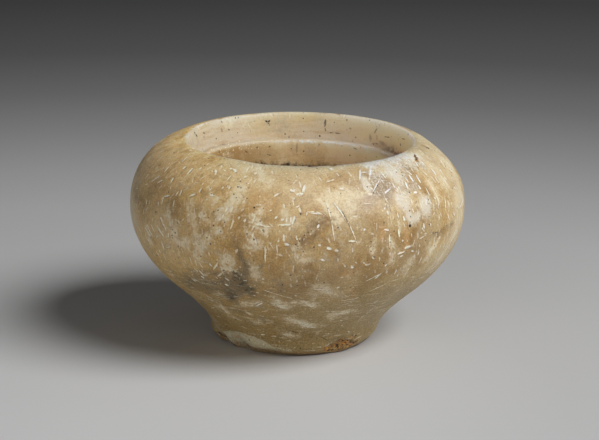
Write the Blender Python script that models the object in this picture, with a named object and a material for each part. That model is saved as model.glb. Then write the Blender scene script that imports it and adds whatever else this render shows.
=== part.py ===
"""A squat bowl carved from one block of mottled alabaster.

Metres, +Z up. The origin lies under the middle of the bowl, on the surface that it stands on.
The front of the bowl faces -Y, and angles around it are counted from +X towards +Y.
"""

import math
from collections import namedtuple

import bmesh
import bpy
from mathutils import Vector
from mathutils.geometry import interpolate_bezier

MM = 0.001
UPRIGHT = 0.0
LEVEL = math.pi / 2

# The outside, from the surface it stands on up to the lip.
BOWL_HEIGHT = 64.3 * MM
BELLY_RADIUS = 52.6 * MM
BELLY_HEIGHT = 44.0 * MM
FLANK_RADIUS = 38.6 * MM
FLANK_HEIGHT = 18.5 * MM
FLANK_LEAN = math.radians(51)
FOOT_RADIUS = 26.8 * MM
FOOT_HEIGHT = 5.0 * MM
BASE_WEAR = 3.5 * MM
BASE_WEAR_LEAN = math.radians(60)

# The mouth: a bevel inside the lip, then a ledge that hangs over the hollow.
LIP_RADIUS = 35.4 * MM
LIP_FALL = math.radians(14)
LIP_WEAR = 0.6 * MM
BEVEL_DEPTH = 8.6 * MM
BEVEL_INSET = 1.5 * MM
LEDGE_WIDTH = 1.6 * MM
LEDGE_WEAR = 0.8 * MM

# The hollow.
BELLY_WALL = 19.4 * MM
FLOOR_THICKNESS = 12.3 * MM
FLOOR_FLAT_RADIUS = 5.0 * MM

# Hand carving: how far each level stands off the middle along X, how far the mouth slopes down
# towards +X, and how oval the plan is.
FOOT_DRIFT = -0.8 * MM
FLANK_DRIFT = 0.7 * MM
SHOULDER_DRIFT = -0.3 * MM
SHOULDER_DEPTH = 3.5 * MM
MOUTH_DRIFT = 1.0 * MM
HOLLOW_DRIFT = 0.3 * MM
MOUTH_SLOPE = math.radians(0.9)
OUT_OF_ROUND = 0.4 * MM

# Chips bitten out of the foot's edge: where round the foot, how high, how wide and how deep.
Chip = namedtuple("Chip", "angle height radius depth")
CHIPS = (
    Chip(math.radians(226), 0.6 * MM, 3.6 * MM, 1.4 * MM),
    Chip(math.radians(206), 0.8 * MM, 4.0 * MM, 0.9 * MM),
    Chip(math.radians(301), 1.4 * MM, 6.0 * MM, 0.9 * MM),
)

# How far each curve is pulled on from its ends, as a share of the rise or the width that it crosses.
BASE_PULL = 0.60
FOOT_PULL_DOWN = 0.40
FOOT_PULL_UP = 0.24
FLANK_PULL_DOWN = 0.15
FLANK_PULL_UP = 0.72
BELLY_PULL_DOWN = 0.18
BELLY_PULL_UP = 0.47
LIP_PULL = 0.60
LEDGE_PULL_OUT = 0.40
LEDGE_PULL_DOWN = 0.25
WALL_PULL = 0.45
HOLLOW_PULL = 0.55
FLOOR_PULL = 0.60

# How many rings each stretch has, and how many segments a ring has.
BASE_RINGS = 4
NECK_RINGS = 7
FLANK_RINGS = 9
SHOULDER_RINGS = 10
BEVEL_RINGS = 4
LEDGE_RINGS = 2
LEDGE_WEAR_RINGS = 3
WALL_RINGS = 5
HOLLOW_RINGS = 10
SEGMENTS = 90

SMOOTH_ANGLE = math.radians(40)
ALABASTER_COLOUR = (0.42, 0.33, 0.20, 1.0)
ALABASTER_ROUGHNESS = 0.45


def off_point(point, lean, distance):
    """The point at a distance from another in (radius, height), leaning outwards from upright."""
    return (point[0] + distance * math.sin(lean), point[1] + distance * math.cos(lean))


def curve(start, start_pull, end_pull, end, steps):
    """Points along a smooth curve in (radius, height), without its first point."""
    corners = [Vector((radius, height, 0)) for radius, height in (start, start_pull, end_pull, end)]
    found = interpolate_bezier(*corners, steps + 1)
    return [(point.x, point.y) for point in found[1:]]


def straight(start, end, steps):
    """Points along a straight line in (radius, height), without its first point."""
    return [
        tuple(a + (b - a) * step / steps for a, b in zip(start, end))
        for step in range(1, steps + 1)
    ]


def outside_profile():
    """The outside, as (radius, height) from the underside's edge up to the lip."""
    base = (FOOT_RADIUS - BASE_WEAR, 0.0)
    foot = (FOOT_RADIUS, FOOT_HEIGHT)
    flank = (FLANK_RADIUS, FLANK_HEIGHT)
    belly = (BELLY_RADIUS, BELLY_HEIGHT)
    lip = (LIP_RADIUS + LIP_WEAR, BOWL_HEIGHT)
    neck_rise = FLANK_HEIGHT - FOOT_HEIGHT
    belly_rise = BELLY_HEIGHT - FLANK_HEIGHT
    shoulder_rise = BOWL_HEIGHT - BELLY_HEIGHT
    shoulder_width = BELLY_RADIUS - LIP_RADIUS

    base_pull = off_point(base, BASE_WEAR_LEAN, BASE_PULL * BASE_WEAR)
    foot_pull_down = off_point(foot, UPRIGHT, -FOOT_PULL_DOWN * FOOT_HEIGHT)
    foot_pull_up = off_point(foot, UPRIGHT, FOOT_PULL_UP * neck_rise)
    flank_pull_down = off_point(flank, FLANK_LEAN, -FLANK_PULL_DOWN * neck_rise)
    flank_pull_up = off_point(flank, FLANK_LEAN, FLANK_PULL_UP * belly_rise)
    belly_pull_down = off_point(belly, UPRIGHT, -BELLY_PULL_DOWN * belly_rise)
    belly_pull_up = off_point(belly, UPRIGHT, BELLY_PULL_UP * shoulder_rise)
    lip_pull = off_point(lip, LEVEL + LIP_FALL, LIP_PULL * shoulder_width)

    points = [base]
    points += curve(base, base_pull, foot_pull_down, foot, BASE_RINGS)
    points += curve(foot, foot_pull_up, flank_pull_down, flank, NECK_RINGS)
    points += curve(flank, flank_pull_up, belly_pull_down, belly, FLANK_RINGS)
    points += curve(belly, belly_pull_up, lip_pull, lip, SHOULDER_RINGS)
    return points


def mouth_profile():
    """The bevel and the ledge, from the lip inwards to the ledge's worn edge."""
    lip = (LIP_RADIUS, BOWL_HEIGHT)
    corner = (LIP_RADIUS - BEVEL_INSET, BOWL_HEIGHT - BEVEL_DEPTH)
    bevel_lean = math.atan2(BEVEL_INSET, BEVEL_DEPTH)
    bevel_start = off_point(lip, bevel_lean, -LIP_WEAR)
    ledge_radius = corner[0] - LEDGE_WIDTH
    ledge_end = (ledge_radius + LEDGE_WEAR, corner[1])
    ledge_nose = (ledge_radius, corner[1])
    ledge_edge = (ledge_radius, corner[1] - LEDGE_WEAR)

    points = [bevel_start]
    points += straight(bevel_start, corner, BEVEL_RINGS)
    points += straight(corner, ledge_end, LEDGE_RINGS)
    points += curve(ledge_end, ledge_nose, ledge_nose, ledge_edge, LEDGE_WEAR_RINGS)
    return points


def hollow_profile(ledge_edge):
    """The hollow, falling nearly straight below the ledge and rounded down into its floor."""
    widest = (BELLY_RADIUS - BELLY_WALL, BELLY_HEIGHT)
    floor = (FLOOR_FLAT_RADIUS, FLOOR_THICKNESS)
    widening = widest[0] - ledge_edge[0]
    straight_drop = ledge_edge[1] - widest[1]
    hollow_depth = widest[1] - floor[1]
    floor_width = widest[0] - floor[0]
    ledge_pull = (
        ledge_edge[0] + LEDGE_PULL_OUT * widening,
        ledge_edge[1] - LEDGE_PULL_DOWN * straight_drop,
    )
    widest_pull_up = off_point(widest, UPRIGHT, WALL_PULL * straight_drop)
    widest_pull_down = off_point(widest, UPRIGHT, -HOLLOW_PULL * hollow_depth)
    floor_pull = off_point(floor, LEVEL, FLOOR_PULL * floor_width)

    points = curve(ledge_edge, ledge_pull, widest_pull_up, widest, WALL_RINGS)
    points += curve(widest, widest_pull_down, floor_pull, floor, HOLLOW_RINGS)
    return points


def outside_drift(height):
    """How far the outside is off the middle at a height, along X."""
    levels = [
        (0.0, FOOT_DRIFT),
        (FLANK_HEIGHT, FLANK_DRIFT),
        (BELLY_HEIGHT, 0.0),
        (BOWL_HEIGHT - SHOULDER_DEPTH, SHOULDER_DRIFT),
        (BOWL_HEIGHT, MOUTH_DRIFT),
    ]
    drift = FOOT_DRIFT
    for (low, low_drift), (high, high_drift) in zip(levels, levels[1:]):
        if height > low:
            drift = low_drift + (high_drift - low_drift) * (height - low) / (high - low)
    return drift


def mouth_share(height):
    """How far a level follows the mouth: not at all up to the belly, and all the way from the ledge up."""
    ledge_height = BOWL_HEIGHT - BEVEL_DEPTH
    share = (height - BELLY_HEIGHT) / (ledge_height - BELLY_HEIGHT)
    return min(max(share, 0.0), 1.0)


def hollow_drift(height):
    """How far the hollow is off the middle at a height, along X."""
    return HOLLOW_DRIFT + (MOUTH_DRIFT - HOLLOW_DRIFT) * mouth_share(height)


def add_ring(bm, edges, radius, height, drift):
    """Extrudes a ring of edges to its next radius and height, and gives the new ring."""
    middle = sum((edge.verts[0].co + edge.verts[1].co for edge in edges), Vector()) / (2 * len(edges))
    grown = bmesh.ops.extrude_edge_only(bm, edges=edges)["geom"]
    for vert in grown:
        if isinstance(vert, bmesh.types.BMVert):
            direction = vert.co - middle
            direction.z = 0
            direction.normalize()
            vert.co = direction * radius + Vector((drift, 0, height))
    return [edge for edge in grown if isinstance(edge, bmesh.types.BMEdge)]


def cap(bm, edges):
    """Closes a ring of edges with one flat face."""
    bmesh.ops.contextual_create(bm, geom=edges)


def carve(bm):
    """The plain form of the bowl, turned ring by ring from the underside up and down into the hollow."""
    outside = outside_profile()
    mouth = mouth_profile()
    hollow = hollow_profile(mouth[-1])
    rings = [(radius, height, outside_drift(height)) for radius, height in outside]
    rings += [(radius, height, MOUTH_DRIFT) for radius, height in mouth]
    rings += [(radius, height, hollow_drift(height)) for radius, height in hollow]

    radius, height, drift = rings[0]
    start = bmesh.ops.create_circle(bm, segments=SEGMENTS, radius=radius)["verts"]
    bmesh.ops.translate(bm, verts=start, vec=(drift, 0, height))
    edges = list(bm.edges)
    cap(bm, edges)
    for radius, height, drift in rings[1:]:
        edges = add_ring(bm, edges, radius, height, drift)
    cap(bm, edges)


def slope_mouth(bm):
    """The mouth slopes down a little towards +X, from nothing at the belly to all of it at the ledge."""
    for vert in bm.verts:
        fall = math.tan(MOUTH_SLOPE) * (vert.co.x - MOUTH_DRIFT)
        vert.co.z -= mouth_share(vert.co.z) * fall


def bend_out_of_round(bm):
    """Hand carving left the plan slightly oval, on a slant to the front."""
    for vert in bm.verts:
        angle = math.atan2(vert.co.y, vert.co.x)
        plan = Vector((vert.co.x, vert.co.y, 0))
        swell = OUT_OF_ROUND * math.sin(2 * angle) * plan.length / BELLY_RADIUS
        if plan.length > 0:
            vert.co += plan.normalized() * swell


def outside_radius(height):
    """The outside's radius at a height."""
    profile = outside_profile()
    for (radius, low), (next_radius, high) in zip(profile, profile[1:]):
        if low <= height <= high:
            return radius + (next_radius - radius) * (height - low) / (high - low)
    return profile[-1][0]


def bite(bm, chip):
    """Presses the outside in, level by level, where a ball set into the surface would take stone away."""
    outwards = Vector((math.cos(chip.angle), math.sin(chip.angle)))
    axis = Vector((outside_drift(chip.height), 0))
    surface = outside_radius(chip.height)
    middle = axis + outwards * (surface + chip.radius - chip.depth)
    for vert in bm.verts:
        rise = vert.co.z - chip.height
        offset = vert.co.xy - middle
        if offset.length_squared + rise * rise < chip.radius * chip.radius:
            inwards = (axis - vert.co.xy).normalized()
            reach = offset.dot(inwards)
            gap = offset.length_squared + rise * rise - chip.radius * chip.radius
            vert.co.xy += inwards * (math.sqrt(reach * reach - gap) - reach)


def alabaster():
    """Pale honey-brown stone, softly polished."""
    material = bpy.data.materials.new("alabaster")
    material.use_nodes = True
    shader = material.node_tree.nodes["Principled BSDF"]
    shader.inputs["Base Color"].default_value = ALABASTER_COLOUR
    shader.inputs["Roughness"].default_value = ALABASTER_ROUGHNESS
    shader.inputs["Metallic"].default_value = 0.0
    return material


def make_bowl():
    """The whole bowl, as one closed mesh."""
    bm = bmesh.new()
    carve(bm)
    slope_mouth(bm)
    bend_out_of_round(bm)
    for chip in CHIPS:
        bite(bm, chip)
    bmesh.ops.recalc_face_normals(bm, faces=bm.faces)
    mesh = bpy.data.meshes.new("bowl")
    bm.to_mesh(mesh)
    bm.free()
    mesh.shade_smooth()
    mesh.set_sharp_from_angle(angle=SMOOTH_ANGLE)
    mesh.materials.append(alabaster())
    bpy.context.scene.collection.objects.link(bpy.data.objects.new("bowl", mesh))


for old in list(bpy.data.objects):
    bpy.data.objects.remove(old, do_unlink=True)
make_bowl()
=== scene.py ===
"""Looks of a squat bowl carved from mottled alabaster: worn stone, a pale floor, soft light and a camera.

Metres, +Z up. The bowl stands on the origin and its front faces -Y. Angles round it are degrees, counted
from +X towards +Y, so that 270 is the front. Heights and widths in the tables are millimetres.
"""

import math
import random
from collections import namedtuple

import bmesh
import bpy
import numpy as np
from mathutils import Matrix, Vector, noise
from mathutils.bvhtree import BVHTree
from mathutils.kdtree import KDTree


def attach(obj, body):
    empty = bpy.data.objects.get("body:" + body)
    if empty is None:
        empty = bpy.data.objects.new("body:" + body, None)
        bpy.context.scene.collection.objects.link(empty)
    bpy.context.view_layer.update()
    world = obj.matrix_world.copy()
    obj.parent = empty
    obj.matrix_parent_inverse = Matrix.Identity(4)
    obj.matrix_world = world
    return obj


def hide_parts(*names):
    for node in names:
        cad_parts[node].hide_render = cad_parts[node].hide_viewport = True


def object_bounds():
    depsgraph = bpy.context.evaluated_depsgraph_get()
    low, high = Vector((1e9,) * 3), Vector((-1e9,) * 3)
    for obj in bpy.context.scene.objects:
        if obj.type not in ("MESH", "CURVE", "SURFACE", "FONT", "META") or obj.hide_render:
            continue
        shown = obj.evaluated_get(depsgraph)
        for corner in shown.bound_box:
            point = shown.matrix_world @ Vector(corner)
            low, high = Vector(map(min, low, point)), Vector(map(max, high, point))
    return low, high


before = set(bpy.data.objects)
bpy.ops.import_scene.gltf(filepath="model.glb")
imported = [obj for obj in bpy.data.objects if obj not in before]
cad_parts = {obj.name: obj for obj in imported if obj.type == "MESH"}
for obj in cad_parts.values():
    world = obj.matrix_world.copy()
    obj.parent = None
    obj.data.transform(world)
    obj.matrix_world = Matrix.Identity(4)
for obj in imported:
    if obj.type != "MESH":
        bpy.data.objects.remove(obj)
cad_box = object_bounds()

MM = 0.001
UP = Vector((0, 0, 1))

# A ray that looks for the outside starts this far from the axis.
RAY_START = 90.0

# The skin: how the solid's loose triangles are merged and how fine the surface gets.
WELD = 0.002 * MM
FLAT = 0.99999
SMOOTH_LEVELS = 2
PAIRING_ANGLE = math.radians(40)
CAP_RINGS = 4
CAP_INSET = 0.2

# Where the mouth and the hollow are, in millimetres, and how the mouth slopes.
MOUTH_MIDDLE = 1.0
MOUTH_SLOPE = math.radians(0.9)
LIP_RADIUS = 35.3
LIP_HEIGHT = 64.3
LEDGE_CORNER = (33.9, 55.7)
LEDGE_NOSE = (32.4, 55.2)
HOLLOW_FLOOR = 11.5

# What lies inside: faces that look inwards, the hollow's core, and the wall above the ledge.
INWARDS = 0.02
HOLLOW_CORE = 20
WALL_RADIUS = 34.6
WALL_FOOT = 50

# A stroke lies on the surface: where it starts and ends, half its width, and how strong it is.
Stroke = namedtuple("Stroke", "angle height end_angle end_height width strength")

# Swellings and dents of the carving, whose strength is how far the skin moves out, in millimetres.
SWELLINGS = [
    (180, 31, 180, 26.5, 7, -0.45), (181, 17, 181, 16, 4.5, -0.4), (183, 9, 183, 8, 3.5, -0.35),
    (184, 3, 186, 2.5, 3, 0.45), (0, 56, 0, 51, 7, 0.4), (356, 3, 358, 2.5, 3, -0.4),
    (168, 64.2, 194, 64, 2.4, -0.7), (214, 63.9, 246, 63.8, 3, 0.4), (303, 1.2, 306, 1, 2.5, 0.4),
    (236, 0.8, 254, 0.8, 1.8, -0.6), (352, 63.3, 12, 63.1, 2.6, -0.5),
]

# Bites out of the foot, cut as swellings are, but with firm edges.
BITES = [
    (222.5, 3.2, 226.5, 3, 0.8, -0.9), (226, 1.4, 231, 1.1, 1.1, -0.8), (231.5, 2.3, 231.5, 1, 0.8, -1),
    (216, 2, 219, 1.6, 0.9, -0.6), (331, 1.2, 334, 0.8, 0.9, -0.4), (262, 0.6, 266, 0.5, 0.8, -0.3),
]

# The flake off the foot: its upper edge as angles and heights, its depth, its step, where it starts.
FLAKE_EDGE = (
    (203, 0.5), (206, 3.2), (212, 5.3), (220, 6.4), (227.7, 7.3), (234, 7.1), (239, 6.8), (247.8, 5.7),
    (253.6, 4), (257.1, 2.8), (261, 0.5),
)
NO_FLAKE = -9
FLAKE_DEPTH = 0.55
FLAKE_STEP = 0.7
FLAKE_RADIUS = 22

# Cream blotches in the stone.
PALE_PATCHES = [
    (313, 61.2, 313, 59.4, 2.7, 1.2), (310, 54.2, 310.4, 53, 2.9, 1.2), (320.5, 51.6, 319.6, 50, 2.5, 1.2),
    (311, 49.4, 312, 48, 1.6, 1.2), (315.5, 48.9, 314, 48, 1.4, 1.2), (298, 60.5, 297, 57.8, 1.3, 1.2),
    (281, 58, 295, 57, 1.7, 0.45), (288, 55, 288, 51, 2.1, 0.3), (283, 53, 284, 51, 1.6, 0.8),
    (278, 57, 281, 55, 1.3, 0.9), (303, 43, 304, 36, 1.3, 0.6), (296, 44, 296, 39, 0.7, 0.7),
    (326.5, 40.5, 320.5, 33.5, 1, 0.9), (312, 35, 312, 31, 1.1, 0.5), (312, 34, 313, 30, 1, 0.5),
    (338, 38, 332, 31, 0.6, 0.5), (270, 43, 272, 40, 1.7, 0.8), (310, 64, 332, 63, 1.6, 0.6),
    (328, 55, 329, 52, 1.9, 0.4), (252, 63, 258, 61, 1.9, 0.7), (250, 59, 247, 55, 1.6, 0.9),
    (247, 55, 243, 50, 1.9, 1), (244, 47, 239, 45, 1.6, 1), (237, 58, 240, 56, 0.9, 0.9),
    (231, 52, 233, 48, 1.9, 0.7), (223, 48, 226, 42, 2.1, 1), (227, 41, 232, 41, 1.6, 1),
    (237, 51, 239, 49, 1.3, 0.7), (209, 42, 211, 37, 1.1, 0.9), (256, 52, 258, 48, 2, 1),
    (254, 47, 256, 43, 2, 1), (234, 46, 238, 42, 1.6, 0.8), (258, 54, 257, 52, 1.6, 0.8),
    (266, 54, 268, 50, 1.6, 0.6), (247, 37, 246, 35, 2.2, 1), (255, 36, 255, 34, 1.6, 0.7),
    (238, 43, 235, 39, 2.2, 0.8), (232, 20, 232, 14, 1.1, 0.48), (246, 21, 255, 23, 1.3, 0.41),
    (262, 25, 266, 21, 1.4, 0.48), (270, 24, 277, 22, 1.3, 0.48), (278, 29, 285, 26, 1.6, 0.32),
    (287, 17, 295, 18, 1.3, 0.48), (263, 16, 281, 12, 1.4, 0.48), (263, 9, 270, 8, 1.1, 0.41),
    (247, 13, 251, 13, 0.8, 0.48), (246, 17, 247, 16, 0.7, 0.48),
]

# Smoky and brown stains.
DARK_STAINS = [
    (249, 44.6, 249, 43.4, 2, 0.5), (250.5, 41.5, 253, 36.6, 1.1, 0.85), (253, 36.4, 250.5, 32.5, 1.9, 0.8),
    (248.5, 31.2, 249.5, 28.6, 3.2, 1), (247, 27.5, 245, 25.5, 2.4, 0.9), (244, 25, 242, 23.6, 2.3, 1),
    (225, 26, 243, 28, 4.6, 0.75), (236, 33.2, 245, 32.2, 1, 0.55), (229, 31.5, 235, 33, 0.9, 0.5),
    (240, 46.5, 236, 45.5, 1.3, 0.35), (233, 20, 242, 18, 2, 0.4), (280, 51, 270, 44, 1.6, 0.7),
    (195, 50, 206, 48, 2.4, 0.5), (211, 56, 208, 52, 2.4, 0.4), (223, 52, 225, 50, 2.6, 0.55),
    (235, 52, 236, 50, 1.8, 0.4), (241, 52, 242, 51, 1.2, 0.4), (251, 51, 253, 50, 1.9, 0.4),
    (303, 55, 299, 56, 2, 0.45), (322, 42, 337, 42, 0.9, 0.35), (322, 62, 323, 60, 0.7, 0.5),
]

# Orange and rusty tints.
WARM_TINTS = [
    (299, 46, 299, 45, 1.6, 0.8), (310, 44, 310, 42, 1.6, 0.8), (345, 52, 342, 52, 0.9, 0.7),
    (290, 3, 294, 2, 0.9, 1), (305, 3, 314, 2, 0.9, 1), (286, 34, 288, 34, 1.6, 0.5),
    (290, 28, 292, 26, 1.6, 0.5), (256, 56, 260, 55, 3.8, 0.6),
]

# Bluish grey clouds.
COOL_CLOUDS = [
    (302, 58, 305, 56, 1.9, 0.8), (306, 63, 336, 62.4, 2, 0.8), (318, 61.5, 332, 60.5, 2, 0.65),
    (302, 57, 307, 57.3, 2.1, 1), (314, 56.8, 320, 56.6, 1.9, 0.8), (305, 61, 301, 59.4, 1.8, 0.8),
    (318, 59.5, 321, 60, 1.5, 0.6), (235, 44, 239, 41, 1.5, 0.35),
]

# Single white scratches and bruises that stand out.
SCRATCHES = [
    (337, 39, 331, 33, 0.25, 0.6), (331, 33, 326, 28, 0.22, 0.6), (342, 41, 336, 35, 0.3, 0.75),
    (336, 35, 330, 31, 0.25, 0.7), (283, 55.7, 287.6, 49.5, 0.28, 1), (287.6, 49.5, 290.3, 43.1, 0.22, 0.9),
    (280.4, 56.1, 281.5, 50.9, 0.25, 0.8), (281.5, 50.9, 282.4, 44.4, 0.22, 0.7),
    (273.8, 53.5, 276.5, 53.5, 0.25, 0.8), (276.5, 53.5, 278.7, 52.7, 0.22, 0.7),
    (298.7, 57.1, 305.2, 60.2, 0.28, 1), (299, 62.9, 295.8, 60.4, 0.38, 0.8),
    (305.7, 63.2, 299.7, 60.1, 0.47, 0.8), (298.2, 62, 301.1, 62, 0.32, 0.8),
    (307.4, 61.5, 307.6, 59.9, 0.28, 0.9), (303.7, 56.6, 307.2, 57.4, 0.32, 1),
    (315.7, 58.3, 315, 56.3, 0.35, 1), (320.2, 59.5, 319.6, 57.6, 0.35, 1), (324.1, 59, 323.3, 56.7, 0.38, 1),
    (336.5, 58.7, 335.9, 56.8, 0.35, 1), (257.7, 28.5, 269, 25.1, 0.25, 0.7),
    (269, 25.1, 275.3, 23.6, 0.19, 0.5), (294.8, 30.3, 300.7, 32.6, 0.25, 0.8),
    (298.4, 26, 304.5, 28.1, 0.25, 0.8), (287.8, 23.3, 294.9, 24, 0.25, 0.6),
    (259.6, 43.9, 259.6, 38.4, 0.28, 0.8), (257, 50.1, 259.7, 49.3, 0.28, 1),
    (259.7, 49.3, 261.2, 49.3, 0.22, 0.8), (263.8, 49.9, 268.4, 50.1, 0.28, 0.9),
    (268.4, 50.1, 269.1, 52, 0.28, 0.9), (248.5, 50.9, 247.7, 47.5, 0.28, 0.7),
    (272.9, 60.2, 272.1, 58.5, 0.38, 1), (270, 58.2, 272.1, 58.4, 0.32, 0.9),
    (267.4, 59.2, 269.2, 58.8, 0.38, 1), (305.8, 46.1, 306.2, 43.4, 0.38, 1),
    (302.1, 45.1, 302.3, 41, 0.35, 0.9), (308.2, 39.7, 312, 40.2, 0.32, 0.9),
    (305.6, 38.1, 308.9, 38.6, 0.35, 0.9), (286.9, 44.5, 289.6, 44.3, 0.32, 0.8),
    (210.2, 58.9, 210, 60.6, 0.35, 0.9), (205.7, 55.2, 209.2, 58.1, 0.32, 0.7),
    (217.6, 57.2, 217.5, 58.7, 0.35, 0.9), (222.9, 60.2, 222.8, 61.9, 0.35, 0.9),
    (223, 54.2, 223.7, 55.8, 0.32, 0.9), (224.9, 54.6, 224.9, 56.3, 0.35, 0.9),
    (217.3, 51.1, 217.3, 53.3, 0.28, 0.8), (217.3, 53.3, 220.4, 54.1, 0.28, 0.8),
    (229.3, 55.2, 231.6, 56.1, 0.35, 0.9), (232.8, 56.7, 233.1, 57.9, 0.35, 0.9),
    (217.6, 47.3, 221.3, 43.7, 0.32, 0.8), (216.1, 44.2, 219.9, 41.6, 0.32, 0.7),
    (233.6, 62.6, 235.8, 61.6, 0.41, 0.9), (241.5, 63.2, 243.8, 62.7, 0.47, 0.9),
    (326.1, 45, 326.9, 47, 0.32, 0.9),
]

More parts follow.
